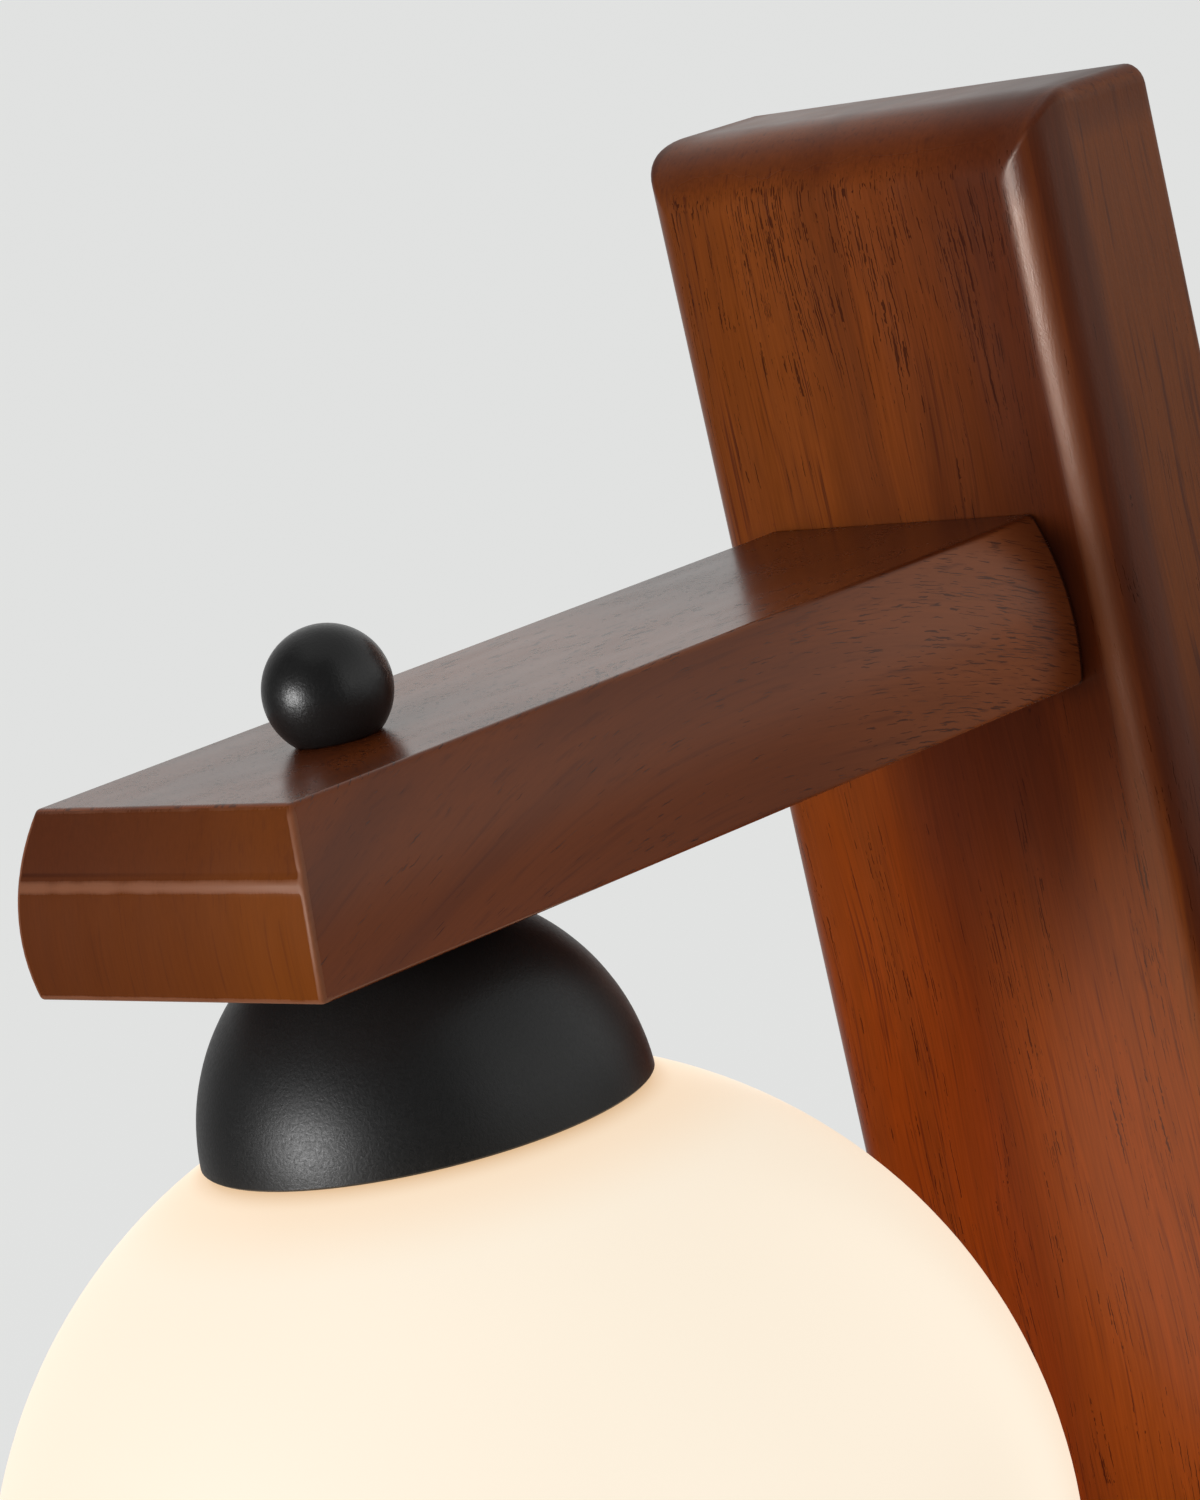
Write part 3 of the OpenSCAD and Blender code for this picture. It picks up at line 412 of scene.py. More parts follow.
def lacquered_mahogany(name, wood, cut, ridge_z=0.0):
    """Mahogany, planed, stained and sprayed with satin lacquer.

    Gives the eye a red-brown ground with soft bands, dark pores a few millimetres long that follow the grain,
    and a lacquer that shows the pale surround at a glancing angle. The cut is board, arm or end.
    """
    material, tree = start_material(name)
    place = add(tree, "ShaderNodeTexCoord", out="Object")
    x, y, z = add(tree, "ShaderNodeSeparateXYZ", [place], out=None)
    band_depth, streak_depth, fibre_depth, pores = CUTS[cut]
    stain, dark, pale = wood.stain, wood.stain_dark, wood.stain_gold
    if cut == "board":
        marks = board_marks(tree, place, x, y, z)
    elif cut == "arm":
        marks = arm_marks(tree, y, z)
        pale = wood.stain_pale
        # Grain along the arm, arched on its sides
        past = add(tree, "ShaderNodeMath", [y, wood.crown_y], operation="SUBTRACT")
        square = add(tree, "ShaderNodeMath", [past, past], operation="MULTIPLY")
        rise = add(tree, "ShaderNodeMath", [square, wood.crown_bend, z], operation="MULTIPLY_ADD")
        place = add(tree, "ShaderNodeCombineXYZ", [x, rise, y])
    else:
        marks = end_marks(tree, x, z, ridge_z)
        stain, dark = wood.end_stain, wood.end_dark
    marks = {**UNMARKED, **marks}

    # The grain wanders a little to the sides
    wander = grain(tree, place, (22, 22, 70), 1.0, "Color")
    wander = add(tree, "ShaderNodeVectorMath", [wander, (0.5, 0.5, 0.5)], operation="SUBTRACT")
    place = add(tree, "ShaderNodeVectorMath", [wander, (mm(6), mm(6), 0.0), place], operation="MULTIPLY_ADD")
    band = grain(tree, place, (13, 18, 240), 2.0)
    band_share = add(tree, "ShaderNodeMapRange", [band, 0.36, 0.60, band_depth, 0.0], **SMOOTH)
    streak = grain(tree, place, (0.7, 1.0, 38), 3.0)
    streak_share = add(tree, "ShaderNodeMapRange", [streak, 0.54, 0.72, 0.0, streak_depth], **SMOOTH)
    fibre = grain(tree, place, (0.4, 0.4, 14), 2.0)
    fibre_level = add(tree, "ShaderNodeMapRange", [fibre, 0.3, 0.7, 1.0 - fibre_depth, 1.03])

    # Pores come and go in patches, and their sides are ragged
    patch = grain(tree, place, (7, 7, 26), 1.0)
    patch_start = add(
        tree, "ShaderNodeMapRange", [patch, 0.44, 0.64, pores["sparse"], pores["dense"]], **SMOOTH)
    pore_start = add(tree, "ShaderNodeMath", [marks["porous"], -0.13, patch_start], operation="MULTIPLY_ADD")
    shake = grain(tree, place, (1.6, 1.6, 1.1), 1.0, "Color")
    shake = add(tree, "ShaderNodeVectorMath", [shake, (0.5, 0.5, 0.5)], operation="SUBTRACT")
    ragged = add(
        tree, "ShaderNodeVectorMath", [shake, (mm(0.35), mm(0.35), 0.0), place], operation="MULTIPLY_ADD")
    pore = grain(tree, ragged, pores["size"], 0.0)
    pore_over = add(tree, "ShaderNodeMath", [pore, pore_start], operation="SUBTRACT")
    pore_share = add(tree, "ShaderNodeMapRange", [pore_over, 0.0, 0.06, 0.0, pores["depth"]], **SMOOTH)

    # Edges where the stain is sanded thin, broken up by fibres and patches, with the board's painted
    # highlight, and dark lines in grooves, with the painted shade round the arm's foot
    wear = add(tree, "ShaderNodeAttribute", out="Fac", attribute_name="edge_wear")
    broken = add(tree, "ShaderNodeMath", [fibre, 0.6], operation="MULTIPLY")
    broken = add(tree, "ShaderNodeMath", [patch, 1.3, broken], operation="MULTIPLY_ADD")
    broken = add(tree, "ShaderNodeMath", [wear, broken], operation="MULTIPLY")
    worn_share = add(tree, "ShaderNodeMapRange", [broken, 0.25, 0.9, 0.0, 0.75], **SMOOTH)
    wear_and_highlight_share = add(tree, "ShaderNodeMath", [worn_share, marks["wear_and_highlight"]], operation="MAXIMUM")
    groove_and_shade_share = add(tree, "ShaderNodeMapRange", [wear, -0.2, -0.9, 0.0, 0.95], **SMOOTH)
    groove_and_shade_share = add(tree, "ShaderNodeMath", [groove_and_shade_share, marks["painted_joint_shade"]], operation="MAXIMUM")

    # One stain over another, with painted shade and a painted warm glow among them, shaded by the fibres,
    # and then pores, wear with a painted highlight, and grooves with painted shade
    colour = add(tree, "ShaderNodeMix", {0: marks["low"], 6: solid(stain), 7: solid(wood.low_stain_and_glow)}, **MIX)
    stains = ((band_share, dark), (marks["pale"], pale), (marks["dark"], dark), (streak_share, dark))
    for share, tone in stains:
        colour = add(tree, "ShaderNodeMix", {0: share, 6: colour, 7: solid(tone)}, **MIX)
    colour = add(tree, "ShaderNodeMix", {0: 1.0, 6: colour, 7: fibre_level}, **TINT)
    for share, tone in ((pore_share, wood.pore), (wear_and_highlight_share, wood.wear_and_highlight), (groove_and_shade_share, wood.pore)):
        colour = add(tree, "ShaderNodeMix", {0: share, 6: colour, 7: solid(tone)}, **MIX)

    rough = add(tree, "ShaderNodeMapRange", [patch, 0.3, 0.7, 0.22, 0.26])
    rougher = (
        (marks["gritty"], 0.03), (marks["dull"], 1.0), (worn_share, 0.35), (pore_share, pores["rough"]))
    for share, more in rougher:
        rough = add(tree, "ShaderNodeMath", [share, more, rough], operation="MULTIPLY_ADD")
    grit = grain(tree, place, (0.5, 0.5, 0.8), 1.0)
    grit = add(tree, "ShaderNodeMath", [grit, marks["gritty"]], operation="MULTIPLY")
    height = add(tree, "ShaderNodeMath", [pore_share, pores["drop"], grit], operation="MULTIPLY_ADD")
    bump = add(tree, "ShaderNodeBump", {"Height": height, "Distance": mm(0.04), "Strength": 0.25})
    finish_surface(tree, {
        "Base Color": colour, "Roughness": rough, "IOR": 1.5, "Normal": bump,
        "Specular Tint": solid(linear("#FFEEE2"))})
    return material


def powder_coated_steel(name, black, rough_low, rough_high):
    """Steel with a baked matte powder coat.

    Gives the eye a near black with a soft highlight and a faint orange peel,
    drawn at 0.45 mm so that it shows.
    """
    material, tree = start_material(name)
    place = add(tree, "ShaderNodeTexCoord", out="Object")
    peel = grain(tree, place, (0.45, 0.45, 0.45), 2.0)
    cloud = grain(tree, place, (9, 9, 9), 2.0)
    level = add(tree, "ShaderNodeMapRange", [cloud, 0.0, 1.0, 0.85, 1.15])
    colour = add(tree, "ShaderNodeMix", {0: 1.0, 6: solid(black), 7: level}, **TINT)
    rough = add(tree, "ShaderNodeMapRange", [peel, 0.3, 0.7, rough_low, rough_high])
    bump = add(tree, "ShaderNodeBump", {"Height": peel, "Distance": mm(0.06), "Strength": 0.65})
    finish_surface(tree, {"Base Color": colour, "Roughness": rough, "IOR": 1.5, "Normal": bump})
    return material


def lit_opal_glass(name, glass):
    """Opal glass, blown and lit from inside.

    Gives the eye an even warm white that turns a little rosy at the rim and near the cap,
    under a satin surface.
    """
    material, tree = start_material(name)
    place = add(tree, "ShaderNodeTexCoord", out="Object")
    z = add(tree, "ShaderNodeSeparateXYZ", [place], out=2)
    cloud = grain(tree, place, (60, 60, 60), 1.0)
    turn = add(tree, "ShaderNodeLayerWeight", {"Blend": 0.2}, out="Facing")
    glow = add(tree, "ShaderNodeMix", {0: turn, 6: solid(glass.glow), 7: solid(glass.glow_rim)}, **MIX)
    # Warmer near the cap, and shaded right under its rim
    over_rim = CAP_LOW.z + mm(1)
    for start, tone in ((CAP_LOW.z - mm(9), glass.glow_cap), (CAP_LOW.z - mm(1.6), glass.glow_shade)):
        near = add(tree, "ShaderNodeMapRange", [z, start, over_rim, 0.0, 1.0], **SMOOTH)
        glow = add(tree, "ShaderNodeMix", {0: near, 6: glow, 7: solid(tone)}, **MIX)
    rough = add(tree, "ShaderNodeMapRange", [cloud, 0.0, 1.0, 0.34, 0.42])
    finish_surface(tree, {
        "Base Color": solid(glass.opal), "Roughness": rough, "IOR": 1.5,
        "Emission Color": glow, "Emission Strength": glass.glow_strength})
    return material


def marked_skin(name, code, size, levels, roughs, relief, surface):
    """A plain finish with fine marks of a size in millimetres, which shade, roughen and raise it."""
    material, tree = start_material(name)
    place = add(tree, "ShaderNodeTexCoord", out="Object")
    marks = grain(tree, place, size, 3.0)
    level = add(tree, "ShaderNodeMapRange", [marks, 0.0, 1.0, *levels])
    shade = add(tree, "ShaderNodeMix", {0: 1.0, 6: solid(linear(code)), 7: level}, **TINT)
    rough = add(tree, "ShaderNodeMapRange", [marks, 0.3, 0.7, *roughs])
    bump = add(tree, "ShaderNodeBump", {"Height": marks, "Distance": mm(0.02), "Strength": relief})
    finish_surface(tree, {"Base Color": shade, "Roughness": rough, "Normal": bump, **surface})
    return material


def plain_metal(name, code, size, roughs):
    """A bare or plated metal whose rolled or turned surface leaves fine marks of a size in millimetres."""
    return marked_skin(name, code, size, (0.82, 1.12), roughs, 0.3, {"Metallic": 1.0})


def moulded(name, code, grit, rough, ior, glow=0.0):
    """A moulded, pressed or extruded skin with a grit in millimetres, drawn coarse so that it shows."""
    surface = {"IOR": ior, "Emission Color": solid(linear(code)), "Emission Strength": glow}
    roughs = (rough - 0.05, rough + 0.05)
    return marked_skin(name, code, (grit, grit, grit), (0.92, 1.06), roughs, 0.4, surface)


# Meshes

def new_object(name, bm):
    """A mesh object made from a bmesh, linked to the scene."""
    mesh = bpy.data.meshes.new(name)
    bmesh.ops.recalc_face_normals(bm, faces=bm.faces)
    bm.to_mesh(mesh)
    bm.free()
    piece = bpy.data.objects.new(name, mesh)
    bpy.context.scene.collection.objects.link(piece)
    return piece


def dress(piece, materials, body, slot, *nodes, sharp=40.0):
    """Shade a piece, give it its materials, and let it stand for its nodes on their body."""
    piece.data.materials.clear()
    for material in materials:
        piece.data.materials.append(material)
    piece.data.shade_smooth()
    piece.data.set_sharp_from_angle(angle=math.radians(sharp))
    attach(piece, body)
    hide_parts(*nodes)
    return piece


def rounded_rect(half_w, half_h, corner, y, middle_z=0.0, steps=6):
    """Points round a rectangle with round corners, upright at a depth y."""
    points = []
    for quarter, (sx, sz) in enumerate(((1, 1), (-1, 1), (-1, -1), (1, -1))):
        for step in range(steps + 1):
            angle = math.pi / 2 * (quarter + step / steps)
            points.append((sx * (half_w - corner) + corner * math.cos(angle), y,
                           middle_z + sz * (half_h - corner) + corner * math.sin(angle)))
    return points


def loft(rings):
    """A closed skin through rings of as many points, with both ends filled."""
    bm = bmesh.new()
    rows = [[bm.verts.new(point) for point in ring] for ring in rings]
    count = len(rows[0])
    for one, other in zip(rows, rows[1:]):
        for i in range(count):
            j = (i + 1) % count
            bm.faces.new((one[i], one[j], other[j], other[i]))
    bm.faces.new(rows[0])
    bm.faces.new(rows[-1])
    return bm


def lathe(profile, steps):
    """A closed skin turned about the lamp's axis from points of radius and level; radius 0 is a pole."""
    bm = bmesh.new()
    rows = []
    turns = [2 * math.pi * i / steps for i in range(steps)]
    for radius, z in profile:
        if radius < mm(0.001):
            rows.append([bm.verts.new((AXIS.x, AXIS.y, z))])
            continue
        ring = [(AXIS.x + radius * math.cos(t), AXIS.y + radius * math.sin(t), z) for t in turns]
        rows.append([bm.verts.new(point) for point in ring])
    pairs = list(zip(rows, rows[1:]))
    if len(rows[0]) > 1:
        pairs.append((rows[-1], rows[0]))
    for one, other in pairs:
        for i in range(steps):
            j = (i + 1) % steps
            corners = [one[i % len(one)], one[j % len(one)], other[j % len(other)], other[i % len(other)]]
            bm.faces.new(list(dict.fromkeys(corners)))
    return bm


def arc(centre_z, radius, start, end, steps):
    """Points of radius and level on a sphere, between two angles in radians from the top."""
    angles = [start + (end - start) * i / steps for i in range(steps + 1)]
    return [(radius * math.sin(a), centre_z + radius * math.cos(a)) for a in angles]


def bore_out(piece, bores):
    """Cut round holes out of a piece, each given by its radius and the two ends of its axis."""
    bm = bmesh.new()
    for radius, start, end in bores:
        start, end = Vector(start), Vector(end)
        turn = (end - start).to_track_quat("Z", "Y").to_matrix().to_4x4()
        bmesh.ops.create_cone(
            bm, cap_ends=True, segments=48, radius1=radius, radius2=radius, depth=(end - start).length,
            matrix=Matrix.Translation((start + end) / 2) @ turn)
    cutter = new_object("bores", bm)
    modifier = piece.modifiers.new("Bores", "BOOLEAN")
    modifier.operation = "DIFFERENCE"
    modifier.solver = "EXACT"
    modifier.object = cutter
    cut_mesh = bpy.data.meshes.new_from_object(piece.evaluated_get(bpy.context.evaluated_depsgraph_get()))
    piece.modifiers.clear()
    piece.data = cut_mesh
    bpy.data.objects.remove(cutter)


def board_rings(board):
    """Rings of the board from the middle of its front, over its rounded edges, to the floor of its recess."""
    half_w = (BOARD_HIGH.x - BOARD_LOW.x) / 2
    half_h = (BOARD_HIGH.z - BOARD_LOW.z) / 2
    front = BOARD_LOW.y
    # A ring this close beside each edge keeps its shading crisp
    inset = mm(0.6)
    steps = 16
    turns = [math.pi / 2 * i / steps for i in range(steps + 1)]
    depths = {round(board.end_round * (1 - math.cos(t)), 7) for t in turns}
    depths = sorted(depths | {round(board.side_round, 7)})
    flat_w, flat_h = half_w - board.side_round - inset, half_h - board.end_round - inset
    rings = [rounded_rect(flat_w, flat_h, board.mitre, front)]
    for depth in depths:
        side = board.side_round - min(depth, board.side_round)
        end = board.end_round - min(depth, board.end_round)
        x = half_w - board.side_round + math.sqrt(board.side_round ** 2 - side ** 2)
        z = half_h - board.end_round + math.sqrt(board.end_round ** 2 - end ** 2)
        corner = board.mitre + (board.corner - board.mitre) * (depth / board.end_round) ** 2
        rings.append(rounded_rect(x, z, corner, front + depth))
    ease = board.back_ease
    rings.append(rounded_rect(half_w, half_h, board.corner, front + board.end_round + inset))
    rings.append(rounded_rect(half_w, half_h, board.corner, -ease - inset))
    for turn in (0.0, 0.5, 1.0):
        drop = ease * (1 - math.cos(math.pi / 2 * turn))
        y = -ease * (1 - math.sin(math.pi / 2 * turn))
        rings.append(rounded_rect(half_w - drop, half_h - drop, board.corner, y))
    rings.append(rounded_rect(half_w - ease - inset, half_h - ease - inset, board.corner, 0.0))
    middle = (board.recess_high + board.recess_low) / 2
    half = (board.recess_high - board.recess_low) / 2
    deep = board.recess_deep
    for grow, y in ((inset + ease / 2, 0.0), (ease / 2, 0.0), (0.0, -ease / 2), (0.0, -ease / 2 - inset),
                    (0.0, inset - deep), (0.0, -deep), (-inset, -deep)):
        recess_w, corner = board.recess_half_w + grow, board.recess_corner + grow
        rings.append(rounded_rect(recess_w, half + grow, corner, y, middle))
    return rings


def end_curve(arm, depth):
    """How far the arm's rounded front end lies behind its foremost line, at a depth under the top."""
    return arm.end_set * (depth / arm.end_front - 1) ** 2


def arm_skin(arm):
    """The arm's closed skin: flat top and bottom, bowed sides, and a rounded front end."""
    top, back = ARM_HIGH.z, ARM_HIGH.y
    front, half_w = ARM_LOW.y - arm.proud, ARM_HIGH.x + arm.proud
    height = top - ARM_LOW.z
    bow = half_w - arm.top_w / 2
    bow_r = (bow ** 2 + arm.widest ** 2) / (2 * bow)
    depths = [height * i / 16 for i in range(17)]
    # Closer rows round the ridge, to shape it
    depths += [arm.ridge + arm.ridge_wide * i / 3 for i in range(-7, 6)]
    depths = sorted(set(depths))
    bm = bmesh.new()
    left, right = [], []
    for depth in depths:
        x = half_w - bow_r + math.sqrt(bow_r ** 2 - (depth - arm.widest) ** 2)
        tip = front + end_curve(arm, depth)
        # Stations near both ends keep the wear marks there
        stations = (tip, tip + 4 * arm.edge_break, back - 3 * arm.edge_break, back)
        for row, sign in ((left, -1), (right, 1)):
            row.append([bm.verts.new((sign * x, y, top - depth)) for y in stations])
    for step in range(3):
        for i in range(len(depths) - 1):
            for row in (left, right):
                bm.faces.new((row[i][step], row[i + 1][step], row[i + 1][step + 1], row[i][step + 1]))
        for i in (0, -1):
            bm.faces.new((left[i][step], right[i][step], right[i][step + 1], left[i][step + 1]))
    for i in range(len(depths) - 1):
        bm.faces.new((left[i][0], left[i + 1][0], right[i + 1][0], right[i][0]))
    bm.faces.new([row[-1] for row in right] + [row[-1] for row in reversed(left)])
    bmesh.ops.recalc_face_normals(bm, faces=bm.faces)
    return bm


def arm_flats(bm, softened):
    """The arm's faces without its softened edges, as one list for each of its six sides."""
    flats = {"top": [], "bottom": [], "back": [], "front": [], "right": [], "left": []}
    for face in bm.faces:
        if face in softened:
            continue
        n = face.normal
        if abs(n.y) > 0.7:
            flats["back" if n.y > 0 else "front"].append(face)
        elif abs(n.x) > 0.6:
            flats["right" if n.x > 0 else "left"].append(face)
        else:
            flats["top" if n.z > 0 else "bottom"].append(face)
    return flats.values()


def soften_arm(bm, arm):
    """Sand the arm's edges off, raise the ridge, and mark where the stain is worn or the joint is dark."""
    edges = [edge for edge in bm.edges if edge.calc_face_angle(0.0) > math.radians(25)]
    made = bmesh.ops.bevel(
        bm, geom=edges, offset=arm.edge_break, offset_type="OFFSET", segments=3, profile=0.5, affect="EDGES",
        clamp_overlap=False)
    wear = bm.verts.layers.float.new("edge_wear")
    softened = set(made["faces"])
    near = 1.2 * arm.edge_break

    def past_tip(vert):
        return vert.co.y - ARM_LOW.y + arm.proud - end_curve(arm, ARM_HIGH.z - vert.co.z)

    for face in softened:
        for vert in face.verts:
            # Worn at the front end, less so at its top, and dark in the joint with the board
            if past_tip(vert) < near:
                vert[wear] = 0.45 if vert.co.z > ARM_HIGH.z - near else 1.0
            else:
                vert[wear] = -1.0 if vert.co.y > ARM_HIGH.y - arm.edge_break * 1.1 else 0.1
    bm.normal_update()
    for faces in arm_flats(bm, softened):
        bmesh.ops.inset_region(
            bm, faces=faces, thickness=arm.wear_reach, use_even_offset=True, use_boundary=True)
        for face in faces:
            for vert in face.verts:
                vert[wear] = 0.0
    for vert in bm.verts:
        # A low ridge with a fine dark groove over it, which dies away before the two sides
        past = (ARM_HIGH.z - vert.co.z - arm.ridge) / arm.ridge_wide
        if past_tip(vert) < near and abs(past) < 3.0:
            bead = math.exp(-past ** 2)
            groove = math.exp(-(2.2 * (past + 1.6)) ** 2)
            ends = min(1.0, max(0.0, (ARM_HIGH.x - abs(vert.co.x)) / arm.edge_break - 1.0))
            vert.co.y += ends * arm.ridge_high * (0.4 * groove - bead)
            vert[wear] = max(vert[wear], bead)
            if vert[wear] < 0.3:
                vert[wear] = -0.6 * groove * (0.6 - 0.4 * vert.co.x / ARM_HIGH.x)


# Operators

# What the softbox and the fill shine on
LIGHT_AIM = Vector((AXIS.x, AXIS.y, BALL_LOW.z))
# Felt round the room: the turn in degrees, how high it hangs, and its shade at the foot and the top
DARK_FELT = 0.0144
FELT_HANGS = (
    (-115, 4.5, 0.50, 0.50), (-90, 4.5, 0.30, 0.30), (-70, 4.5, 0.06, 0.06), (-55, 4.5, DARK_FELT, DARK_FELT),
    (60, 4.5, DARK_FELT, DARK_FELT), (75, 4.5, 0.10, 0.10), (76, 0.0, 0.12, 0.30), (100, 0.0, 0.26, 0.48),
    (128, 0.0, 0.46, 0.68), (134, 0.0, 0.32, 0.48), (142, 0.0, 0.14, 0.20), (170, 0.0, 0.14, 0.20),
)
# Where the felt starts on the floor and where it hangs, in metres from the lamp, and degrees between its rows
FELT_NEAR, FELT_FAR, FELT_STEP = 0.3, 2.4, 5


class LAMP_OT_stage(bpy.types.Operator):
    """Make the floor, the light and the camera"""
    bl_idname = "lamp.make_stage"
    bl_label = "Floor, light and camera"

    def execute(self, context):
        scene = context.scene
        stage = scene.lamp_stage
        scene.view_settings.view_transform = "Standard"
        self.make_world(scene, stage)
        self.make_floor(stage)
        self.make_flag(stage)
        self.make_lights(stage)
        self.make_camera(scene, stage)
        return {"FINISHED"}

    def make_world(self, scene, stage):
        world = bpy.data.worlds.new("Pale studio")
        world.use_nodes = True
        tree = world.node_tree
        tree.nodes.clear()
        path = add(tree, "ShaderNodeLightPath", out=None)
        rays = [path["Is Camera Ray"], path["Is Transmission Ray"]]
        seen = add(tree, "ShaderNodeMath", rays, operation="MAXIMUM")
        # The room is dimmer overhead than at eye level
        height = add(tree, "ShaderNodeSeparateXYZ", [add(tree, "ShaderNodeTexCoord", out="Generated")], out=2)
        dim = add(tree, "ShaderNodeMapRange", [height, 0.2, 0.9, 1.0, 0.5], **SMOOTH)
        room_level = add(tree, "ShaderNodeMath", [dim, stage.room_light], operation="MULTIPLY")
        room = add(tree, "ShaderNodeBackground", [solid(WHITE), room_level])
        mirrored = add(tree, "ShaderNodeBackground", [solid(stage.backdrop), dim])
        pale = add(tree, "ShaderNodeBackground", [solid(stage.backdrop), 1.0])
        unseen = add(tree, "ShaderNodeMixShader", [path["Is Glossy Ray"], room, mirrored])
        shown = add(tree, "ShaderNodeMixShader", [seen, unseen, pale])
        add(tree, "ShaderNodeOutputWorld", {"Surface": shown}, out=None)
        scene.world = world

    def make_floor(self, stage):
        material, tree = start_material("Matte paper, pale")
        path = add(tree, "ShaderNodeLightPath", out=None)
        rays = [path["Is Camera Ray"], path["Is Glossy Ray"]]
        seen = add(tree, "ShaderNodeMath", rays, operation="MAXIMUM")
        seen = add(tree, "ShaderNodeMath", [seen, path["Is Transmission Ray"]], operation="MAXIMUM")
        # A quarter of the paper's shade is lit, so that the lamp's shadow shows; the rest is even
        lit_share = 0.25
        lit_level = 0.68 * stage.room_light
        even_level = 1.0 - lit_share * lit_level / stage.backdrop[1]
        even = add(tree, "ShaderNodeMath", [seen, even_level], operation="MULTIPLY")
        lit = add(tree, "ShaderNodeBsdfDiffuse", {"Color": (lit_share, lit_share, lit_share, 1.0)})
        glow = add(tree, "ShaderNodeEmission", [solid(stage.backdrop), even])
        both = add(tree, "ShaderNodeAddShader", [lit, glow])
        add(tree, "ShaderNodeOutputMaterial", {"Surface": both}, out=None)
        bm = bmesh.new()
        bmesh.ops.create_circle(bm, cap_ends=True, segments=64, radius=60.0,
                                matrix=Matrix.Translation((0.0, 0.0, stage.floor_z)))
        floor = new_object("floor", bm)
        floor.data.materials.append(material)

    def felt_rows(self, floor):
        """Rows of points of the felt round the room's side, each with its shade."""
        rows = []
        for one, other in zip(FELT_HANGS, FELT_HANGS[1:]):
            steps = max(1, (other[0] - one[0]) // FELT_STEP)
            for i in range(steps + (other is FELT_HANGS[-1])):
                angle, high, foot, top = (a + (b - a) * i / steps for a, b in zip(one, other))
                way = Vector((math.sin(math.radians(angle)), -math.cos(math.radians(angle)), 0.0))
                places = ((FELT_NEAR, floor, foot), (FELT_FAR, floor, foot), (FELT_FAR, high, top))
                up = Vector((0.0, 0.0, 1.0))
                rows.append([(way * reach + up * level, tone) for reach, level, tone in places])
        return rows

    def diffusion_rows(self):
        """Rows of points of a sheet behind the softbox, each with its shade, which fades at the edges."""
        across, upward, reach, peak = 14, 10, 1.5, 3.2
        rows = []
        for i in range(across + 1):
            angle = math.radians(-36 + 54 * i / across)
            row = []
            for j in range(upward + 1):
                rise = math.radians(-14 + 32 * j / upward)
                level = math.cos(rise)
                way = Vector((math.sin(angle) * level, -math.cos(angle) * level, math.sin(rise)))
                fade = math.sin(math.pi * i / across) * math.sin(math.pi * j / upward)
                row.append((LIGHT_AIM + reach * way, DARK_FELT + peak * fade ** 2))
            rows.append(row)
        return rows

    def make_flag(self, stage):
        # Seen in gloss alone: the felt keeps black and brown deep, and the sheet softens the highlights
        material, tree = start_material("Felt, pressed and dyed dark to pale")
        shade = add(tree, "ShaderNodeAttribute", out="Fac", attribute_name="felt_shade")
        felt = add(tree, "ShaderNodeEmission", [solid(WHITE), shade])
        add(tree, "ShaderNodeOutputMaterial", {"Surface": felt}, out=None)
        bm = bmesh.new()
        felt_shade = bm.verts.layers.float.new("felt_shade")
        for rows in (self.felt_rows(stage.floor_z + 0.01), self.diffusion_rows()):
            sheet = [[bm.verts.new(point) for point, tone in row] for row in rows]
            for verts, row in zip(sheet, rows):
                for vert, (point, tone) in zip(verts, row):
                    vert[felt_shade] = tone
            for one, other in zip(sheet, sheet[1:]):
                for i in range(len(one) - 1):
                    bm.faces.new((one[i], other[i], other[i + 1], one[i + 1]))
        flag = new_object("flag", bm)
        flag.data.materials.append(material)
        flag.visible_camera = False
        flag.visible_diffuse = False
        flag.visible_transmission = False
        flag.visible_shadow = False

    def make_light(self, name, place, way, size, power, colour):
        light = bpy.data.lights.new(name, "AREA")
        light.shape = "RECTANGLE"
        light.size, light.size_y = size
        light.energy = power
        light.color = colour
        lamp = bpy.data.objects.new(name, light)
        lamp.location = place
        lamp.rotation_mode = "QUATERNION"
        lamp.rotation_quaternion = way.to_track_quat("Z", "Y")
        bpy.context.scene.collection.objects.link(lamp)
        return lamp

    def make_lights(self, stage):
        front = Vector((-0.242, -0.969, 0.052)).normalized()
        self.make_light("softbox", LIGHT_AIM + 1.4 * front, front, (0.55, 0.42), stage.key_power, WHITE)
        # A fill on the right, which shows in no gloss
        side = Vector((0.98, -0.15, 0.08)).normalized()
        fill = self.make_light("fill", LIGHT_AIM + 1.0 * side, side, (0.5, 0.5), stage.fill_power, WHITE)
        fill.visible_glossy = False
        # The globe's own light on the board behind it
        behind = Vector((AXIS.x, AXIS.y + GLOBE_R + mm(2), GLOBE_Z))
        glow = self.make_light(
            "globe_light", behind, Vector((0.0, -1.0, 0.0)), (0.12, 0.12), stage.globe_power,
            stage.globe_tint)
        glow.visible_glossy = False

    def make_camera(self, scene, stage):
        data = bpy.data.cameras.new("camera")
        data.lens = stage.lens
        data.clip_end = 200.0
        az, el, roll = stage.azimuth, stage.elevation, stage.roll
        back = Vector((math.sin(az) * math.cos(el), -math.cos(az) * math.cos(el), math.sin(el)))
        right = (-back).cross(Vector((0.0, 0.0, 1.0))).normalized()
        up = right.cross(-back)
        across = math.cos(roll) * right + math.sin(roll) * up
        above = -math.sin(roll) * right + math.cos(roll) * up
        camera = bpy.data.objects.new("camera", data)
        turn = Matrix((across, above, back)).transposed().to_4x4()
        camera.matrix_world = Matrix.Translation(Vector(stage.place)) @ turn
        scene.collection.objects.link(camera)
        scene.camera = camera


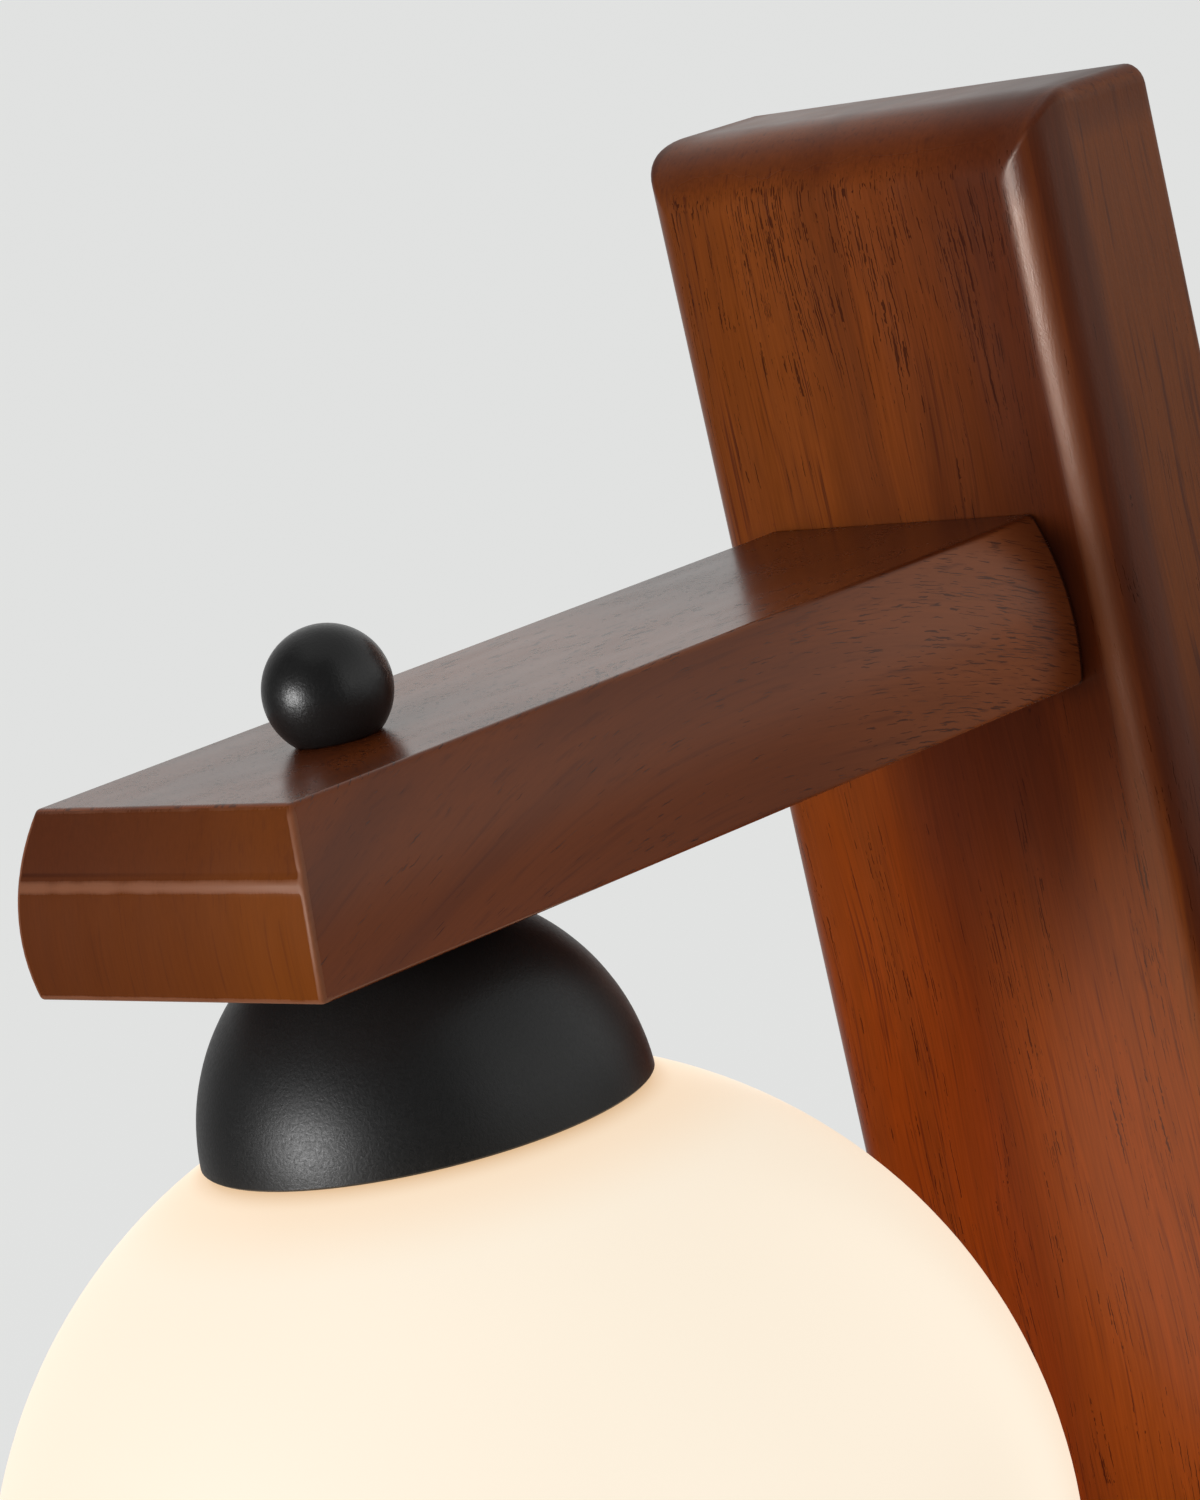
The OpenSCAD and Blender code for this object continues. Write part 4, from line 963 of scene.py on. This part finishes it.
class LAMP_OT_board(bpy.types.Operator):
    """Make the back board with its rounded front edges and the recess in its back"""
    bl_idname = "lamp.make_board"
    bl_label = "Back board"

    def execute(self, context):
        board = context.scene.lamp_board
        piece = new_object("board", loft(board_rings(board)))
        # Every cutter reaches a little past the faces that it opens
        past = mm(1)
        front = BOARD_LOW.y - past
        bores = [(board.wire_hole_r, (0.0, past, ARM_MID_Z), (0.0, front, ARM_MID_Z))]
        for sign in (-1, 1):
            # Holes for the arm's bolts, and pockets for the heads of the side screws
            bolt_x = sign * board.bolt_out
            bores.append((board.bolt_hole_r, (bolt_x, 0.0, ARM_MID_Z), (bolt_x, front, ARM_MID_Z)))
            inner_x = sign * (BOARD_HIGH.x - board.pocket_deep)
            outer_x = sign * (BOARD_HIGH.x + past)
            bores.append((board.pocket_r, (inner_x, -board.screw_out, 0.0), (outer_x, -board.screw_out, 0.0)))
        bore_out(piece, bores)
        wood = lacquered_mahogany("Mahogany, stained and satin lacquered", context.scene.lamp_wood, "board")
        dress(piece, [wood], "fixture", "board_wood", "back_board")
        return {"FINISHED"}


class LAMP_OT_arm(bpy.types.Operator):
    """Make the bow-sided arm with its sanded edges and ridged front end"""
    bl_idname = "lamp.make_arm"
    bl_label = "Arm"

    def execute(self, context):
        arm = context.scene.lamp_arm
        wood = context.scene.lamp_wood
        bm = arm_skin(arm)
        soften_arm(bm, arm)
        piece = new_object("arm_beam", bm)
        hole_r = context.scene.lamp_metal.tube_hole_r
        bore_out(piece, [(hole_r, (AXIS.x, AXIS.y, ARM_LOW.z - mm(1)), (AXIS.x, AXIS.y, ARM_HIGH.z + mm(1)))])
        dress(piece, [
            lacquered_mahogany("Mahogany, stained and satin lacquered, arm", wood, "arm"),
            lacquered_mahogany(
                "Mahogany end grain, stained and satin lacquered", wood, "end", ARM_HIGH.z - arm.ridge),
        ], "fixture", "arm_wood", "arm")
        for face in piece.data.polygons:
            if face.normal.y < -0.7 and face.center.y < ARM_LOW.y + arm.end_set + arm.edge_break:
                face.material_index = 1
        return {"FINISHED"}


class LAMP_OT_black_metal(bpy.types.Operator):
    """Make the black ball and the black cap"""
    bl_idname = "lamp.make_black_metal"
    bl_label = "Ball and cap"

    def execute(self, context):
        metal = context.scene.lamp_metal
        coat = powder_coated_steel("Steel, matte black powder coated", metal.black, 0.37, 0.48)
        fine_coat = powder_coated_steel("Steel, satin black powder coated", metal.satin_black, 0.29, 0.37)
        self.make_ball(metal, fine_coat)
        self.make_cap(metal, coat)
        frame["nodes"]["side_screws"].material_slots[0].material = coat
        return {"FINISHED"}

    def make_ball(self, metal, coat):
        radius = (BALL_HIGH.x - BALL_LOW.x) / 2
        middle = BALL_HIGH.z - radius
        seat = BALL_LOW.z
        hole_r, hole_top = metal.tube_hole_r, seat + metal.ball_hole
        # The seat's edge is broken, flat inwards and up the ball
        flat, rise = mm(0.3), mm(0.25)
        profile = [(0.0, hole_top), (hole_r, hole_top), (hole_r, seat), (metal.ball_seat_r - flat, seat)]
        start = math.pi - math.asin(metal.ball_seat_r / radius) - rise / radius
        profile += arc(middle, radius, start, 0.0, 44)
        dress(new_object("ball", lathe(profile, 72)), [coat], "finial", "black_coat", "ball_finial")

    def make_cap(self, metal, coat):
        radius = (CAP_HIGH.x - CAP_LOW.x) / 2
        top = CAP_HIGH.z
        wall = metal.cap_wall
        middle = top - math.sqrt(radius ** 2 - metal.cap_top_r ** 2)
        inner = radius - wall
        # The top's edge is broken, and the dome stops short of the rounded rim, outside and inside
        flat, drop, rim_out, rim_in = mm(0.3), mm(0.4), mm(1.0), mm(1.4)
        rim_r = inner + wall / 2
        rim_z = GLOBE_Z + math.sqrt((GLOBE_R + metal.rim_gap + wall / 2) ** 2 - rim_r ** 2)
        hole_r = metal.tube_hole_r
        profile = [(hole_r, top - wall), (hole_r, top), (metal.cap_top_r - flat, top)]
        start = math.asin(metal.cap_top_r / radius) + drop / radius
        profile += arc(middle, radius, start, math.pi / 2 - rim_out / radius, 40)
        for i in range(1, 8):
            turn = math.pi * i / 8
            profile.append((rim_r + wall / 2 * math.cos(turn), rim_z - wall / 2 * math.sin(turn)))
        inner_top = math.acos((top - wall - middle) / inner)
        profile += arc(middle, inner, math.pi / 2 - rim_in / inner, inner_top, 40)
        dress(new_object("cap_dome", lathe(profile, 96)), [coat], "fixture", "black_coat", "cap")


class LAMP_OT_globe(bpy.types.Operator):
    """Make the opal glass globe with its neck"""
    bl_idname = "lamp.make_globe"
    bl_label = "Globe"

    def execute(self, context):
        glass = context.scene.lamp_glass
        neck_r = (NECK_HIGH.x - NECK_LOW.x) / 2
        inner = GLOBE_R - glass.wall
        bore_r = neck_r - glass.wall
        fillet, lip = glass.neck_fillet, glass.lip
        # The fillet's middle lies at its radius from both the globe and the neck
        middle = (neck_r + fillet, GLOBE_Z + math.sqrt((GLOBE_R + fillet) ** 2 - (neck_r + fillet) ** 2))
        touch = math.asin(middle[0] / (GLOBE_R + fillet))
        profile = arc(GLOBE_Z, GLOBE_R, math.pi, touch, 80)
        for i in range(1, 7):
            turn = (math.pi / 2 - touch) * i / 6 + touch + math.pi
            profile.append((middle[0] + fillet * math.sin(turn), middle[1] + fillet * math.cos(turn)))
        top = NECK_HIGH.z
        profile += [(neck_r, top - lip), (neck_r - lip, top), (bore_r + lip, top), (bore_r, top - lip)]
        profile += arc(GLOBE_Z, inner, math.asin(bore_r / inner), math.pi, 60)
        material = lit_opal_glass("Opal glass, blown and lit from inside", glass)
        piece = new_object("glass_globe", lathe(profile, 128))
        dress(piece, [material], "globe", "opal_glass", "globe", "globe_neck")
        return {"FINISHED"}


def finish_slot(slot, material):
    """Give every node of a record slot a material."""
    for part in frame["record"]["subparts"]:
        if part["material_slot"] == slot:
            frame["nodes"][part["node"]].material_slots[0].material = material


class LAMP_OT_metal_fittings(bpy.types.Operator):
    """Finish the steel, brass and aluminium fittings"""
    bl_idname = "lamp.finish_metal_fittings"
    bl_label = "Metal fittings"

    def execute(self, context):
        # Zinc plating gives a cool grey with faint cloudy spangle
        zinc = plain_metal("Steel, rolled and zinc plated", "#B4B6B8", (3, 3, 3), (0.28, 0.42))
        finish_slot("zinc_steel", zinc)
        # Turned brass gives a yellow shine with fine rings
        finish_slot("brass", plain_metal("Brass, turned", "#C9A55C", (6, 6, 0.3), (0.2, 0.34)))
        # Turned aluminium gives a white shine with fine rings
        aluminium = plain_metal("Aluminium, die cast and turned", "#C8C9CB", (6, 6, 0.4), (0.3, 0.42))
        finish_slot("cast_aluminium", aluminium)
        return {"FINISHED"}


class LAMP_OT_insulators(bpy.types.Operator):
    """Finish the terminal block, the gasket and the lampholder"""
    bl_idname = "lamp.finish_insulators"
    bl_label = "Insulators"

    def execute(self, context):
        # Moulded nylon gives a satin off-white, and silicone a softer and duller one
        finish_slot("white_nylon", moulded("Nylon, moulded", "#DAD9D3", 0.8, 0.5, 1.53))
        finish_slot("white_silicone", moulded("Silicone rubber, moulded", "#DCDBD6", 1.2, 0.6, 1.41))
        # Pressed steatite gives a chalky cream with a fine grit
        finish_slot("holder_ceramic", moulded("Steatite ceramic, pressed", "#E4DECF", 0.5, 0.62, 1.55))
        return {"FINISHED"}


class LAMP_OT_bulb(bpy.types.Operator):
    """Finish the bulb's light board and its cover"""
    bl_idname = "lamp.finish_bulb"
    bl_label = "Bulb"

    def execute(self, context):
        # Lacquer over the lit chips gives a glowing yellow, and the frosted cover an even milky white
        chips = moulded("Aluminium board with light chips, lacquered", "#EAD27A", 2.4, 0.4, 1.5, 0.6)
        finish_slot("light_chips", chips)
        cover = moulded("Polycarbonate, moulded and frosted", "#F2EEE2", 0.6, 0.45, 1.58, 0.6)
        finish_slot("bulb_diffuser", cover)
        return {"FINISHED"}


class LAMP_OT_wires(bpy.types.Operator):
    """Finish the insulation of the three wires"""
    bl_idname = "lamp.finish_wires"
    bl_label = "Wires"

    def execute(self, context):
        # Extruded PVC gives a smooth, slightly waxy colour
        for slot, code in (("brown_insulation", "#5A3320"), ("blue_insulation", "#2C5FA8"),
                           ("green_insulation", "#5C9A3C")):
            finish_slot(slot, moulded("PVC, extruded, " + slot.split("_")[0], code, 0.7, 0.42, 1.53))
        return {"FINISHED"}


class LAMP_PT_panel(bpy.types.Panel):
    """Lists the steps that make the lamp"""
    bl_idname = "LAMP_PT_panel"
    bl_label = "Wall lamp"
    bl_space_type = "VIEW_3D"
    bl_region_type = "UI"
    bl_category = "Wall lamp"

    def draw(self, context):
        for operator in OPERATORS:
            self.layout.operator(operator.bl_idname)


SETTINGS = {
    "lamp_board": BoardSettings,
    "lamp_arm": ArmSettings,
    "lamp_wood": WoodSettings,
    "lamp_metal": MetalSettings,
    "lamp_glass": GlassSettings,
    "lamp_stage": StageSettings,
}
OPERATORS = (
    LAMP_OT_stage, LAMP_OT_board, LAMP_OT_arm, LAMP_OT_black_metal, LAMP_OT_globe, LAMP_OT_metal_fittings,
    LAMP_OT_insulators, LAMP_OT_bulb, LAMP_OT_wires,
)


def register():
    for kind in (*SETTINGS.values(), *OPERATORS, LAMP_PT_panel):
        bpy.utils.register_class(kind)
    for name, kind in SETTINGS.items():
        setattr(bpy.types.Scene, name, PointerProperty(type=kind))


def unregister():
    for name in SETTINGS:
        delattr(bpy.types.Scene, name)
    for kind in (LAMP_PT_panel, *reversed(OPERATORS), *SETTINGS.values()):
        bpy.utils.unregister_class(kind)


def main():
    register()
    bpy.ops.lamp.make_stage()
    bpy.ops.lamp.make_board()
    bpy.ops.lamp.make_arm()
    bpy.ops.lamp.make_black_metal()
    bpy.ops.lamp.make_globe()
    bpy.ops.lamp.finish_metal_fittings()
    bpy.ops.lamp.finish_insulators()
    bpy.ops.lamp.finish_bulb()
    bpy.ops.lamp.finish_wires()


if __name__ == "__main__":
    main()
